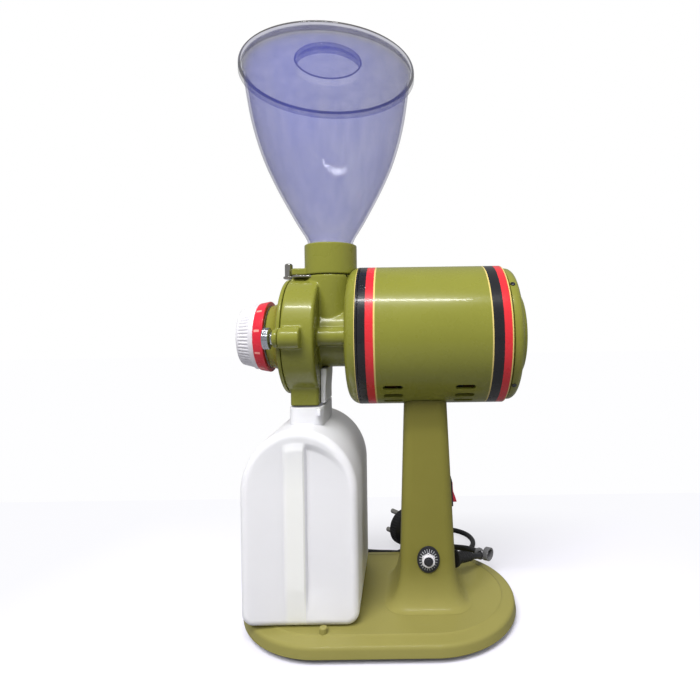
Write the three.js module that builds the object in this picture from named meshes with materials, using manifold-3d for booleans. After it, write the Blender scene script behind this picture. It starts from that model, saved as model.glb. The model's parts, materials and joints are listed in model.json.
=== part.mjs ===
// Electric coffee grinder with flat burrs: a cast base and column carry a motor, the motor carries
// the burr chamber, a hopper stands over the feed throat and a plastic bin catches the coffee.
// Lengths are millimetres. X runs from the adjusting dial to the motor's tail, Y from the side with
// the reset button to the side with the cord, and Z up. The origin is on the table, in the middle.

import * as THREE from 'three';
import { mergeVertices } from 'three/addons/utils/BufferGeometryUtils.js';
import Module from 'manifold-3d';

const wasm = await Module();
wasm.setup();

// Fits and roundness

const fit = { gap: 0.3, loose: 0.6, overrun: 3, merge: 0.0001 };
const facets = { large: 30, medium: 20, small: 10, baseEnd: 7, corner: 3, wire: 6 };
const quarterTurn = Math.PI / 2;
const halfTurn = Math.PI;
const fullTurn = 2 * Math.PI;
const degree = Math.PI / 180;

// Driving dimensions

const base = {
  left: -111.6, length: 217.1, width: 135, thickness: 10.5, toe: 0.8, draft: 1.2, topRound: 4.5,
  wall: 5, roof: 4.5, bossRadius: 7, cableHoleRadius: 11,
};
const bottomPlate = { thickness: 1.5 };
const foot = { height: 4, radius: 9, toeRadius: 7.5, fromEnd: 46, fromSide: 17 };
const peg = { x: -41, radius: 2.8, height: 4, fromBin: 1.2 };
const column = {
  x: 34.8, height: 207, wall: 5, cornerRadius: 8, topLength: 33.5, topDepth: 46,
  shankLength: 45, shankDepth: 51, footLength: 66, footDepth: 70, flareHeight: 24, boltInset: 9,
  boltSpacing: 32,
};
const columnBolt = { headRadius: 4.2, headHeight: 3, shankRadius: 2.2, reach: 7 };
const motor = {
  front: -25, radius: 55, wall: 2, flangeLength: 10.3, flangeRound: 10, shellLength: 110.7,
  spigotLength: 5, spigotWall: 3, hubRadius: 20, hubWall: 3,
};
const slot = { length: 15, width: 5, front: 27.6, rear: 81, angles: [43.5, 54.5, 65.5] };
const tail = { rimLength: 4, rimInset: 2.2, seam: 1.4, domeLength: 6.2, bossRadius: 34, bossLength: 4 };
const shaft = { radius: 6, tipRadius: 5 };
const bearing = { width: 10, outerRadius: 16 };
const stator = { front: 40, fromRear: 34, boreRadius: 27.5, windingLength: 13, windingWall: 17 };
const rotorCore = { airGap: 0.9 };
const fan = { radius: 43, hubRadius: 12, blades: 9, bladeThickness: 1.6, width: 9, disc: 2 };
const drum = { radius: 46, depth: 24, wall: 5, backWall: 4, backRound: 3 };
const bridge = { length: 22, radius: 25, augerBore: 14.5 };
const strut = { radius: 7, out: 27 };
const throat = { radius: 20.5, offset: 15, bore: 14, rim: 2.8 };
const lug = { radius: 7.85, length: 15.4, out: 47.5 };
const cover = {
  flange: 2.6, bellLength: 19.4, tipRadius: 21, wall: 4, hubWall: 5, lugRadius: 6.5, lugThickness: 3.9,
};
const bellShares = [
  [1, 0.13], [0.88, 0.185], [0.66, 0.24], [0.44, 0.345], [0.28, 0.5], [0.19, 0.7], [0.17, 0.84],
  [0, 0.85], [0, 1],
];
const thumbScrew = { headRadius: 7.85, headLength: 6.4, neckRadius: 4.6, shankRadius: 2.4, reach: 8 };
const chute = { length: 22, depth: 48, wall: 3, drop: 53.1 };
const guard = { top: 6, bottom: 3.4, width: 34, drop: 26.5, waistShare: 0.62 };
const burr = { radius: 30, bore: 17.5, thickness: 5, spacing: 1 };
const burrHolder = { radius: 31, thickness: 4, hubRadius: 9, hubLength: 4.5 };
const auger = { radius: 12.8, rootRadius: 8.6, flight: 3, pitch: 13, levelShare: 0.75 };
const burrSpring = { wire: 1.1, radius: 8, turns: 2.5, room: 0.95 };
const spindle = { radius: 5.5, length: 22, ballRadius: 3.6 };
const dial = {
  back: 63.5, length: 22.5, frontRadius: 22.4, rearRadius: 26.2, wall: 2.4, edge: 1.6, hollow: 8,
};
const dialRing = { length: 8, frontRadius: 27.2, rearRadius: 28.7, seatRadius: 25.4 };
const gate = {
  width: 30, thickness: 2, reach: 38.5, tip: 14.4, pinRadius: 3.2, pinHeight: 10.5, pinFromEnd: 4,
};
const neck = {
  radius: 21.1, height: 24.4, ledge: 4, ledgeBore: 14.5, lugLength: 9.6, lugHeight: 5.4, lugWidth: 20,
};
const hopper = { stemRadius: 18.4, wall: 2, rise: 138 };
const hopperShares = [
  [0.02, 0], [0.05, 0.04], [0.115, 0.155], [0.225, 0.33], [0.35, 0.515], [0.5, 0.7], [0.7, 0.865], [1, 1],
];
const lid = {
  radius: 70, thickness: 2.2, skirt: 6.5, wall: 1.8, corner: 1.5, rimGap: 1, domeRise: 4, knobRadius: 27.4,
  knobHeight: 6.6, knobRound: 2,
};
const bin = {
  length: 84.7, depth: 100, straightHeight: 95.2, archRise: 46, height: 153.2, wall: 2, edgeRound: 6,
  footRound: 9, collarLength: 25.8, collarDepth: 56, collarRadius: 7, collarShift: 1.65, x: -58.65,
};
const breaker = {
  x: 35, z: 50.5, plateWidth: 18.5, plateHeight: 21.5, plateThickness: 1, nutRadius: 6.2, nutHeight: 2,
  buttonRadius: 3.4, buttonOut: 2.6, barrelRadius: 4.6, bodyWidth: 14, bodyHeight: 28, bodyDepth: 22,
};
const rocker = {
  z: 94, bezelWidth: 15, bezelHeight: 21, bezelThickness: 1.6, width: 11, height: 16.4, depth: 9,
  out: 3.2, tilt: 10, bodyDepth: 20, bodyWidth: 12.6, bodyHeight: 18.6, wall: 0.5,
};
const capacitor = { radius: 11, length: 42, shelf: 106, shelfThickness: 3 };

// Cord: each stretch follows points chosen by hand, and the coil is worked out
const cord = { radius: 2.5, spacing: 0.5, sides: 8, runSteps: 30 };
const relief = {
  x: 57.5, y: 8, z: 34, azimuth: 40, dip: 14, flangeRadius: 7, flangeThickness: 2.5, length: 22,
  rootRadius: 5, endRadius: 3.5, boreRadius: 3.4,
};
const coil = { x: -92, y: 104, radius: 32.5, turns: 4.5, straight: 6, climbTurns: 0.5, loopSteps: 24 };
const plug = {
  x: 18, y: 108, radius: 17.5, lift: 0.2, azimuth: 132, roll: 20.6, thickness: 12, dome: 7, faceEdge: 1.5,
  sleeveLength: 16, sleeveRoot: 5.6, sleeveEnd: 3.7, pinRadius: 2.4, pinLength: 19, pinSpacing: 19,
};
const cordTie = {
  x: 84.7, y: 40.2, z: 22, slope: 14.5, radius: 4.2, length: 6, tailLength: 10, tailWidth: 1.2,
};
const leadPoints = [
  [82.8, 31.8, 24.4], [84.7, 40.2, 22], [82.8, 48.7, 20], [77.6, 55.5, 18.8], [71.5, 59, 18.3],
  [63, 61, 18.2], [52, 62.8, 18.2], [40, 66.6, 17.8], [29, 71, 14.6], [17, 74, 9.4],
  [5, 75.2, 5], [-8, 75.2, 3], [-24, 75, 2.6], [-42, 74, 2.6], [-60, 72.6, 2.6], [-74, 71.7, 2.6],
];
const tailPoints = [
  [-74, 136, 6.6], [-64, 132.6, 4], [-55.5, 124.8, 2.7], [-49.5, 114, 2.6], [-43.5, 103, 2.6],
  [-36, 94, 2.6], [-26, 88, 2.6], [-12, 85, 2.6], [5, 83.5, 2.6], [22, 81.4, 2.6], [38, 78.8, 2.6],
  [50, 77.4, 2.6], [61, 77.1, 2.6], [73.5, 80.9, 2.6], [84.1, 91.5, 2.6], [88, 106, 2.6], [84.1, 120.5, 2.6],
  [74, 130.6, 2.6], [61, 135, 2.6], [52, 134.6, 2.7],
];

// Finishes of the pieces, as the photograph shows them

const finishes = {
  olivePaint: { color: 0x8f9440, roughness: 0.42, metalness: 0 },
  basePaint: { color: 0xa09a50, roughness: 0.5, metalness: 0 },
  smokedPlastic: { color: 0x9094c8, roughness: 0.1, metalness: 0, transparent: true, opacity: 0.6 },
  milkyPlastic: { color: 0xeeeef6, roughness: 0.4, metalness: 0 },
  whitePlastic: { color: 0xd8d8d0, roughness: 0.5, metalness: 0 },
  satinAlloy: { color: 0xd8d6de, roughness: 0.35, metalness: 0.8 },
  redBand: { color: 0xd84050, roughness: 0.35, metalness: 0 },
  zinc: { color: 0xc8ccd4, roughness: 0.3, metalness: 1 },
  steel: { color: 0x9a9ca0, roughness: 0.35, metalness: 1 },
  darkSteel: { color: 0x55575c, roughness: 0.5, metalness: 1 },
  copper: { color: 0xb0683a, roughness: 0.4, metalness: 1 },
  blackRubber: { color: 0x18181a, roughness: 0.8, metalness: 0 },
  blackPlastic: { color: 0x1c1c20, roughness: 0.45, metalness: 0 },
  greyPlastic: { color: 0x8a8a8c, roughness: 0.4, metalness: 0 },
  redPlastic: { color: 0xc8203a, roughness: 0.35, metalness: 0 },
  cordSheath: { color: 0x141416, roughness: 0.4, metalness: 0 },
  nickel: { color: 0xb8b8b4, roughness: 0.25, metalness: 1 },
};

// Heights and places that follow from the driving dimensions

const baseBottom = foot.height;
const baseTop = baseBottom + base.thickness;
const baseCentre = base.left + base.length / 2;
const axisHeight = baseTop + column.height;
const drumBack = motor.front - bridge.length;
const drumFront = drumBack - drum.depth;
const chamberBack = drumBack - drum.backWall;
const throatX = motor.front - throat.offset;
const throatTop = drum.radius + throat.rim;
const shellFront = motor.front + motor.flangeLength;
const shellRear = shellFront + motor.shellLength;
const shellBore = motor.radius - motor.wall;
const statorFront = motor.front + stator.front;
const statorRear = shellRear - stator.fromRear;
const chuteX = drumBack - chute.length / 2 - fit.gap;
const columnLean = (column.shankLength - column.topLength) / 2;
const hopperRim = lid.radius - lid.wall - lid.rimGap;

// Solids: every helper returns a closed solid for joining and cutting

function toSolid(geometry) {
  const bare = new THREE.BufferGeometry();
  bare.setAttribute('position', geometry.getAttribute('position'));
  if (geometry.index) bare.setIndex(geometry.index);
  const merged = mergeVertices(bare, fit.merge);
  const points = merged.getAttribute('position');
  const corner = [0, 1, 2].map(() => new THREE.Vector3());
  const kept = [];
  let volume = 0;
  for (let i = 0; i < merged.index.count; i += 3) {
    const [a, b, c] = [0, 1, 2].map((k) => merged.index.getX(i + k));
    if (a === b || b === c || c === a) continue;
    [a, b, c].forEach((vertex, k) => corner[k].fromBufferAttribute(points, vertex));
    volume += corner[0].dot(corner[1].cross(corner[2]));
    kept.push(a, b, c);
  }
  if (volume < 0) kept.reverse();
  return new wasm.Manifold(new wasm.Mesh({
    numProp: 3,
    vertProperties: new Float32Array(points.array),
    triVerts: new Uint32Array(kept),
  }));
}

function toGeometry(solid) {
  const mesh = solid.getMesh();
  const geometry = new THREE.BufferGeometry();
  geometry.setAttribute('position', new THREE.BufferAttribute(mesh.vertProperties, 3));
  geometry.setIndex(new THREE.BufferAttribute(mesh.triVerts, 1));
  return geometry;
}

const join = (first, ...others) => others.reduce((whole, next) => whole.add(next), first);
const cut = (whole, ...tools) => tools.reduce((rest, tool) => rest.subtract(tool), whole);

// Turns a profile of [radius, place along the axis] about X, Y or Z
function turned(axis, profile, count) {
  const outline = profile.map(([radius, along]) => new THREE.Vector2(radius, along));
  const geometry = new THREE.LatheGeometry(outline, count);
  if (axis === 'x') geometry.rotateZ(-quarterTurn);
  if (axis === 'z') geometry.rotateX(quarterTurn);
  return toSolid(geometry);
}

function ring(axis, bore, radius, from, to, count) {
  return turned(axis, [[bore, from], [radius, from], [radius, to], [bore, to], [bore, from]], count);
}

function rod(axis, radius, from, to, count) {
  return turned(axis, [[0, from], [radius, from], [radius, to], [0, to]], count);
}

function block(x0, x1, y0, y1, z0, z1) {
  const geometry = new THREE.BoxGeometry(x1 - x0, y1 - y0, z1 - z0);
  return toSolid(geometry.translate((x0 + x1) / 2, (y0 + y1) / 2, (z0 + z1) / 2));
}

// A level ring of points round a rectangle with round corners
function roundedRing(x, y, z, halfX, halfY, radius, steps = facets.corner) {
  const points = [];
  for (let side = 0; side < 4; side += 1) {
    const signX = side === 0 || side === 3 ? 1 : -1;
    const signY = side < 2 ? 1 : -1;
    for (let step = 0; step <= steps; step += 1) {
      const angle = quarterTurn * (side + step / steps);
      points.push(new THREE.Vector3(
        x + signX * (halfX - radius) + radius * Math.cos(angle),
        y + signY * (halfY - radius) + radius * Math.sin(angle),
        z,
      ));
    }
  }
  return points;
}

// A skin through level rings, closed by a fan at each end
function loft(rings) {
  const count = rings[0].length;
  const ends = [rings[0], rings[rings.length - 1]].map((end) => (
    end.reduce((sum, point) => sum.add(point), new THREE.Vector3()).divideScalar(count)
  ));
  const points = [...rings.flat(), ...ends];
  const lowerMiddle = count * rings.length;
  const corners = [];
  for (let k = 0; k < count; k += 1) {
    const next = (k + 1) % count;
    for (let level = 0; level < rings.length - 1; level += 1) {
      const lower = level * count;
      const upper = lower + count;
      corners.push(lower + k, lower + next, upper + next, lower + k, upper + next, upper + k);
    }
    const last = (rings.length - 1) * count;
    corners.push(lowerMiddle, next, k, lowerMiddle + 1, last + k, last + next);
  }
  const geometry = new THREE.BufferGeometry().setFromPoints(points);
  geometry.setIndex(corners);
  return toSolid(geometry);
}

// A slab with the outline [x, z], standing from y0 to y1
function slab(outline, y0, y1) {
  const shape = new THREE.Shape(outline.map(([x, z]) => new THREE.Vector2(x, z)));
  const geometry = new THREE.ExtrudeGeometry(shape, { depth: y1 - y0, bevelEnabled: false });
  return toSolid(geometry.rotateX(quarterTurn).translate(0, y1, 0));
}

// A round wire of equal steps along a curve
function wire(curve, radius, sides, count) {
  const section = new THREE.Shape();
  for (let k = 0; k < sides; k += 1) {
    const angle = fullTurn * k / sides;
    const corner = [radius * Math.cos(angle), radius * Math.sin(angle)];
    if (k === 0) section.moveTo(...corner);
    else section.lineTo(...corner);
  }
  const options = { steps: count, extrudePath: curve, bevelEnabled: false };
  return toSolid(new THREE.ExtrudeGeometry(section, options));
}

// Scene graph: the head is everything that hangs on the shaft's axis

const grinder = new THREE.Group();
const head = new THREE.Group();
head.position.z = axisHeight;
grinder.add(head);

function place(group, name, solid, finish) {
  const mesh = new THREE.Mesh(toGeometry(solid), new THREE.MeshStandardMaterial(finish));
  mesh.name = name;
  group.add(mesh);
  return mesh;
}

// Base: a stadium-shaped casting, open below, with pegs that guide the bin

function stadium(inset, z) {
  const halfWidth = base.width / 2 - inset;
  return roundedRing(baseCentre, 0, z, base.length / 2 - inset, halfWidth, halfWidth, facets.baseEnd);
}

function columnBoltPlaces() {
  const reach = column.footLength / 2 - column.boltInset;
  return [-1, 1].flatMap((sideX) => [-1, 1].map((sideY) => (
    [column.x + sideX * reach, sideY * column.boltSpacing / 2]
  )));
}

function footPlaces() {
  const reach = base.length / 2 - foot.fromEnd;
  const out = base.width / 2 - foot.fromSide - foot.radius;
  return [-1, 1].flatMap((sideX) => [-1, 1].map((sideY) => (
    [baseCentre + sideX * reach, sideY * out]
  )));
}

function makeBase() {
  const recessTop = baseTop - base.roof;
  const roundInset = base.topRound * (1 - Math.SQRT1_2);
  let casting = loft([
    stadium(base.toe, baseBottom),
    stadium(0, baseBottom + base.toe),
    stadium(base.draft, baseTop - base.topRound),
    stadium(base.draft + roundInset, baseTop - roundInset),
    stadium(base.draft + base.topRound, baseTop),
  ]);
  casting = cut(casting, loft([
    stadium(base.wall, baseBottom - fit.overrun),
    stadium(base.wall, recessTop),
  ]));
  const plateTop = baseBottom + bottomPlate.thickness + fit.gap;
  for (const [x, y] of footPlaces()) {
    const boss = rod('z', base.bossRadius, plateTop, recessTop + base.roof / 2, facets.small);
    casting = join(casting, boss.translate([x, y, 0]));
  }
  for (const [x, y] of columnBoltPlaces()) {
    const hole = rod('z', columnBolt.shankRadius + fit.gap, baseBottom, baseTop + fit.overrun, facets.small);
    const roomRadius = columnBolt.headRadius + fit.gap;
    const headRoom = rod('z', roomRadius, baseBottom - fit.overrun, recessTop, facets.small);
    casting = cut(casting, hole.translate([x, y, 0]), headRoom.translate([x, y, 0]));
  }
  const cableHole = rod('z', base.cableHoleRadius, baseBottom, baseTop + fit.overrun, facets.small);
  casting = cut(casting, cableHole.translate([column.x, 0, 0]));
  for (const side of [-1, 1]) {
    const out = bin.depth / 2 + peg.fromBin + peg.radius;
    const pin = rod('z', peg.radius, baseTop - base.roof / 2, baseTop + peg.height, facets.small);
    casting = join(casting, pin.translate([peg.x, side * out, 0]));
  }
  place(grinder, 'base', casting, finishes.basePaint);

  const inset = base.wall + fit.gap;
  place(grinder, 'base_bottom_plate', loft([
    stadium(inset, baseBottom),
    stadium(inset, baseBottom + bottomPlate.thickness),
  ]), finishes.darkSteel);
  footPlaces().forEach(([x, y], k) => {
    const top = baseBottom - fit.gap;
    const outline = [[0, 0], [foot.toeRadius, 0], [foot.radius, top], [0, top]];
    place(grinder, `foot_${k + 1}`, turned('z', outline, facets.small), finishes.blackRubber)
      .position.set(x, y, 0);
  });
}

// Column: a hollow casting with a flared foot, its top cut to the motor's round

function columnRing(z, length, depth) {
  const radius = Math.min(column.cornerRadius, length / 2, depth / 2);
  return roundedRing(column.x, 0, z, length / 2, depth / 2, radius);
}

// Length and depth of the straight column at a height, without its flared foot
function shankAt(z) {
  const share = (z - baseTop) / (axisHeight - motor.radius - baseTop);
  return [
    column.shankLength + share * (column.topLength - column.shankLength),
    column.shankDepth + share * (column.topDepth - column.shankDepth),
  ];
}

function makeColumn() {
  const bottom = baseTop + fit.gap;
  const top = axisHeight - motor.radius + column.wall;
  const rings = [];
  const flareSteps = 4;
  for (let step = 0; step <= flareSteps; step += 1) {
    const z = bottom + column.flareHeight * (1 - Math.cos(quarterTurn * step / flareSteps));
    const spread = 1 - Math.sin(quarterTurn * step / flareSteps);
    const [length, depth] = shankAt(z);
    const flareLength = column.footLength - column.shankLength;
    const flareDepth = column.footDepth - column.shankDepth;
    rings.push(columnRing(z, length + flareLength * spread, depth + flareDepth * spread));
  }
  rings.push(columnRing(top, ...shankAt(top)));
  const cavityTop = axisHeight - motor.radius - column.wall;
  const cavity = loft([bottom - fit.overrun, cavityTop].map((z) => {
    const [length, depth] = shankAt(z);
    return columnRing(z, length - 2 * column.wall, depth - 2 * column.wall);
  }));
  const [shelfLength, shelfDepth] = shankAt(capacitor.shelf);
  const shelf = block(
    column.x - shelfLength / 2 + column.wall / 2, column.x + shelfLength / 2 - column.wall / 2,
    -shelfDepth / 2 + column.wall / 2, capacitor.radius / 2,
    capacitor.shelf - capacitor.shelfThickness, capacitor.shelf,
  );
  let casting = join(cut(loft(rings), cavity), shelf);
  const seat = rod('x', motor.radius + fit.gap, motor.front, shellRear, facets.large);
  casting = cut(casting, seat.translate([0, 0, axisHeight]));
  for (const [x, y] of columnBoltPlaces()) {
    const radius = columnBolt.shankRadius + fit.gap;
    const hole = rod('z', radius, baseTop - fit.overrun, bottom + columnBolt.reach + fit.gap, facets.small);
    casting = cut(casting, hole.translate([x, y, 0]));
  }
  const breakerHole = rod('y', breaker.barrelRadius + fit.gap, -column.footDepth, 0, facets.small);
  const faceRadius = breaker.plateHeight / 2 + fit.gap;
  const toFace = rod('y', faceRadius, -column.footDepth, breakerFace(), facets.small);
  casting = cut(casting, breakerHole.translate([breaker.x, 0, breaker.z]));
  casting = cut(casting, toFace.translate([breaker.x, 0, breaker.z]));
  const switchHole = block(
    -rocker.bodyDepth, fit.overrun, -rocker.bodyWidth / 2 - fit.gap, rocker.bodyWidth / 2 + fit.gap,
    -rocker.bodyHeight / 2 - fit.gap, rocker.bodyHeight / 2 + fit.gap,
  );
  casting = cut(casting, switchHole.rotate([0, rockerLean() / degree, 0]).translate(rockerPlace()));
  let reliefSeat = join(
    rod('x', relief.flangeRadius + fit.gap, -fit.gap, relief.length, facets.small),
    rod('x', relief.boreRadius, -relief.length, relief.length, facets.small),
  );
  reliefSeat = reliefSeat.rotate([0, relief.dip, relief.azimuth]);
  casting = cut(casting, reliefSeat.translate([relief.x, relief.y, relief.z]));
  place(grinder, 'column', casting, finishes.olivePaint);

  columnBoltPlaces().forEach(([x, y], k) => {
    const headTop = baseTop - base.roof - fit.gap;
    const headBottom = headTop - columnBolt.headHeight;
    const bolt = join(
      rod('z', columnBolt.headRadius, headBottom, headTop, facets.wire),
      rod('z', columnBolt.shankRadius, headBottom, bottom + columnBolt.reach, facets.small),
    );
    place(grinder, `column_bolt_${k + 1}`, bolt, finishes.zinc).position.set(x, y, 0);
  });
  const can = rod('z', capacitor.radius, 0, capacitor.length, facets.small);
  const canDepth = shankAt(capacitor.shelf + capacitor.length)[1] / 2 - column.wall;
  place(grinder, 'run_capacitor', can, finishes.whitePlastic)
    .position.set(column.x, -canDepth + capacitor.radius + fit.gap, capacitor.shelf + fit.gap);
}

// Reset breaker on the column's near face

function breakerFace() {
  return -shankAt(breaker.z - breaker.plateHeight / 2)[1] / 2 + fit.gap;
}

function makeBreaker() {
  const face = breakerFace() - fit.gap;
  const group = new THREE.Group();
  group.position.set(breaker.x, face, breaker.z);
  grinder.add(group);
  const oval = [1, 1, breaker.plateHeight / breaker.plateWidth];
  const disc = rod('y', breaker.plateWidth / 2, -breaker.plateThickness, 0, facets.medium);
  const holeRadius = breaker.barrelRadius + fit.gap;
  const barrelHole = rod('y', holeRadius, -breaker.bodyDepth, breaker.bodyDepth, facets.small);
  place(group, 'breaker_plate', cut(disc.scale(oval), barrelHole), finishes.blackPlastic);

  const nutBack = -breaker.plateThickness - fit.gap;
  const nutFront = nutBack - breaker.nutHeight;
  const nut = rod('y', breaker.nutRadius, nutFront, nutBack, facets.wire);
  place(group, 'breaker_nut', cut(nut, barrelHole), finishes.zinc);

  const inside = column.wall + fit.loose;
  const bodyFront = inside + fit.gap;
  const body = join(
    rod('y', breaker.barrelRadius, nutFront, bodyFront + fit.overrun, facets.small),
    block(
      -breaker.bodyWidth / 2, breaker.bodyWidth / 2, bodyFront, bodyFront + breaker.bodyDepth,
      -breaker.bodyHeight / 2, breaker.bodyHeight / 2,
    ),
  );
  const bore = rod('y', breaker.buttonRadius + fit.gap, -breaker.bodyDepth, bodyFront, facets.small);
  place(group, 'breaker_body', cut(body, bore), finishes.blackPlastic);
  const buttonFront = nutFront - breaker.buttonOut;
  const buttonBack = bodyFront - breaker.buttonOut - fit.gap;
  const button = rod('y', breaker.buttonRadius, buttonFront, buttonBack, facets.small);
  place(group, 'reset_button', button, finishes.blackPlastic);
}

// Rocker switch on the column's rear face, square to its lean

function rockerLean() {
  return -Math.atan2(columnLean, axisHeight - motor.radius - baseTop);
}

function rockerPlace() {
  return [column.x + shankAt(rocker.z)[0] / 2, 0, rocker.z];
}

function makeRocker() {
  const group = new THREE.Group();
  group.position.set(...rockerPlace());
  group.rotation.y = rockerLean();
  grinder.add(group);
  const halfWidth = rocker.bodyWidth / 2;
  const halfHeight = rocker.bodyHeight / 2;
  const well = block(
    -rocker.depth, fit.overrun, -rocker.width / 2 - rocker.wall, rocker.width / 2 + rocker.wall,
    -rocker.height / 2 - rocker.wall, rocker.height / 2 + rocker.wall,
  );
  const bezelFront = fit.gap + rocker.bezelThickness;
  const housing = join(
    block(
      fit.gap, bezelFront, -rocker.bezelWidth / 2, rocker.bezelWidth / 2,
      -rocker.bezelHeight / 2, rocker.bezelHeight / 2,
    ),
    block(-rocker.bodyDepth + fit.loose, bezelFront, -halfWidth, halfWidth, -halfHeight, halfHeight),
  );
  place(group, 'rocker_housing', cut(housing, well), finishes.blackPlastic);

  const tilt = rocker.tilt * degree;
  const reach = rocker.height / 2;
  const cap = slab([
    [bezelFront - rocker.out * Math.cos(tilt), 0],
    [bezelFront - rocker.out / 2, reach],
    [bezelFront + rocker.wall, reach],
    [bezelFront + rocker.wall, 0],
    [bezelFront + rocker.out, -reach + rocker.wall],
    [bezelFront - rocker.out / 2, -reach + rocker.wall],
  ], -rocker.width / 2, rocker.width / 2);
  place(group, 'power_rocker', cap, finishes.redPlastic);
}

// Motor: rounded front flange, steel shell with slots, rear cover

function flangeProfile(grow) {
  const points = [];
  const round = motor.flangeRound;
  for (let step = 0; step <= facets.corner; step += 1) {
    const angle = quarterTurn * step / facets.corner;
    points.push([
      motor.radius - round + (round + grow) * Math.sin(angle),
      motor.front + round - (round + grow) * Math.cos(angle),
    ]);
  }
  return points;
}

function slotTools() {
  const radius = slot.width / 2;
  const tools = [];
  for (const start of [slot.front, slot.rear]) {
    const middle = motor.front + start + slot.length / 2;
    const outline = [1, -1].flatMap((end) => Array.from({ length: facets.corner + 1 }, (_, k) => {
      const angle = halfTurn * (k / facets.corner) - end * quarterTurn;
      const centre = middle + end * (slot.length / 2 - radius);
      return [centre + radius * Math.cos(angle), radius * Math.sin(angle)];
    }));
    for (const angle of slot.angles) {
      const tool = slab(outline, shellBore - fit.overrun, motor.radius + fit.overrun);
      tools.push(tool.rotate([-angle, 0, 0]), tool.rotate([angle + halfTurn / degree, 0, 0]));
    }
  }
  return tools;
}

function makeMotor() {
  const shell = ring('x', shellBore, motor.radius, shellFront, shellRear, facets.large);
  place(head, 'motor_shell', cut(shell, ...slotTools()), finishes.olivePaint);

  const spigot = shellBore - fit.gap;
  const flangeBack = shellFront - fit.gap;
  const hubEnd = flangeBack + bearing.width - motor.hubWall;
  place(head, 'motor_front_flange', turned('x', [
    [shaft.radius + fit.loose, motor.front],
    ...flangeProfile(0),
    [motor.radius, flangeBack],
    [spigot, flangeBack],
    [spigot, flangeBack + motor.spigotLength],
    [spigot - motor.spigotWall, flangeBack + motor.spigotLength],
    [spigot - motor.spigotWall, flangeBack - motor.spigotWall],
    [motor.hubRadius, flangeBack - motor.spigotWall],
    [motor.hubRadius, hubEnd],
    [bearing.outerRadius + fit.gap, hubEnd],
    [bearing.outerRadius + fit.gap, hubEnd - bearing.width],
    [shaft.radius + fit.loose, hubEnd - bearing.width],
    [shaft.radius + fit.loose, motor.front],
  ], facets.large), finishes.olivePaint);

  const rimFront = shellRear + tail.seam;
  const rimRear = rimFront + tail.rimLength;
  const rimRadius = motor.radius - tail.rimInset;
  const domeRear = rimRear + tail.domeLength;
  const bossRear = domeRear + tail.bossLength;
  const hubFront = rimRear - bearing.width;
  const hubBack = hubFront + bearing.width + fit.gap;
  place(head, 'motor_rear_cover', turned('x', [
    [spigot - motor.spigotWall, shellRear - motor.spigotLength],
    [spigot, shellRear - motor.spigotLength],
    [spigot, rimFront],
    [rimRadius, rimFront],
    [rimRadius, rimRear],
    [rimRadius - tail.rimInset, rimRear + tail.domeLength / 2],
    [tail.bossRadius, domeRear],
    [tail.bossRadius - tail.rimInset, bossRear],
    [0, bossRear],
    [0, hubBack],
    [bearing.outerRadius + fit.gap, hubBack],
    [bearing.outerRadius + fit.gap, hubFront],
    [motor.hubRadius, hubFront],
    [motor.hubRadius, rimRear],
    [spigot - motor.spigotWall, rimFront],
    [spigot - motor.spigotWall, shellRear - motor.spigotLength],
  ], facets.large), finishes.olivePaint);

  const core = ring('x', stator.boreRadius, shellBore - fit.gap, statorFront, statorRear, facets.medium);
  place(head, 'stator_core', core, finishes.darkSteel);
  const bundle = stator.boreRadius + stator.windingWall;
  const ends = [
    ['stator_winding_front', statorFront - stator.windingLength - fit.gap, statorFront - fit.gap],
    ['stator_winding_rear', statorRear + fit.gap, statorRear + stator.windingLength + fit.gap],
  ];
  for (const [name, from, to] of ends) {
    const bevel = stator.windingLength / 4;
    place(head, name, turned('x', [
      [stator.boreRadius + fit.loose, from], [bundle - bevel, from], [bundle, from + bevel],
      [bundle, to - bevel], [bundle - bevel, to], [stator.boreRadius + fit.loose, to],
      [stator.boreRadius + fit.loose, from],
    ], facets.medium), finishes.copper);
  }

  const shaftTip = burrPlaces().holderBack - burrHolder.thickness;
  const shaftEnd = hubBack - fit.gap;
  place(head, 'motor_shaft', turned('x', [
    [0, shaftTip], [shaft.tipRadius, shaftTip], [shaft.tipRadius, chamberBack], [shaft.radius, chamberBack],
    [shaft.radius, shaftEnd], [0, shaftEnd],
  ], facets.small), finishes.steel);
  const rotorRadius = stator.boreRadius - rotorCore.airGap;
  const laminations = ring('x', shaft.radius + fit.gap, rotorRadius, statorFront, statorRear, facets.medium);
  place(head, 'rotor_core', laminations, finishes.darkSteel);
  const raceWidth = bearing.width - fit.gap;
  const bearings = [['front_bearing', hubEnd - raceWidth], ['rear_bearing', hubFront + fit.gap]];
  for (const [name, from] of bearings) {
    const bore = shaft.radius + fit.gap;
    const race = ring('x', bore, bearing.outerRadius, from, from + raceWidth, facets.medium);
    place(head, name, race, finishes.steel);
  }

  const fanFront = statorRear + stator.windingLength + fit.loose + fan.disc;
  let wheel = join(
    rod('x', fan.radius, fanFront, fanFront + fan.disc, facets.medium),
    rod('x', fan.hubRadius, fanFront, fanFront + fan.width, facets.small),
  );
  for (let k = 0; k < fan.blades; k += 1) {
    const blade = block(
      fanFront + fan.disc / 2, fanFront + fan.width, -fan.bladeThickness / 2, fan.bladeThickness / 2,
      fan.hubRadius / 2, fan.radius - fan.disc,
    );
    wheel = join(wheel, blade.rotate([k * (fullTurn / degree) / fan.blades, 0, 0]));
  }
  const fanBack = fanFront + fan.width;
  const holeRadius = shaft.radius + fit.gap;
  const shaftHole = rod('x', holeRadius, fanFront - fit.overrun, fanBack + fit.overrun, facets.small);
  place(head, 'cooling_fan', cut(wheel, shaftHole), finishes.blackPlastic);
}

// Burr chamber: drum, feed throat, chute, struts and lugs in one casting

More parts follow.
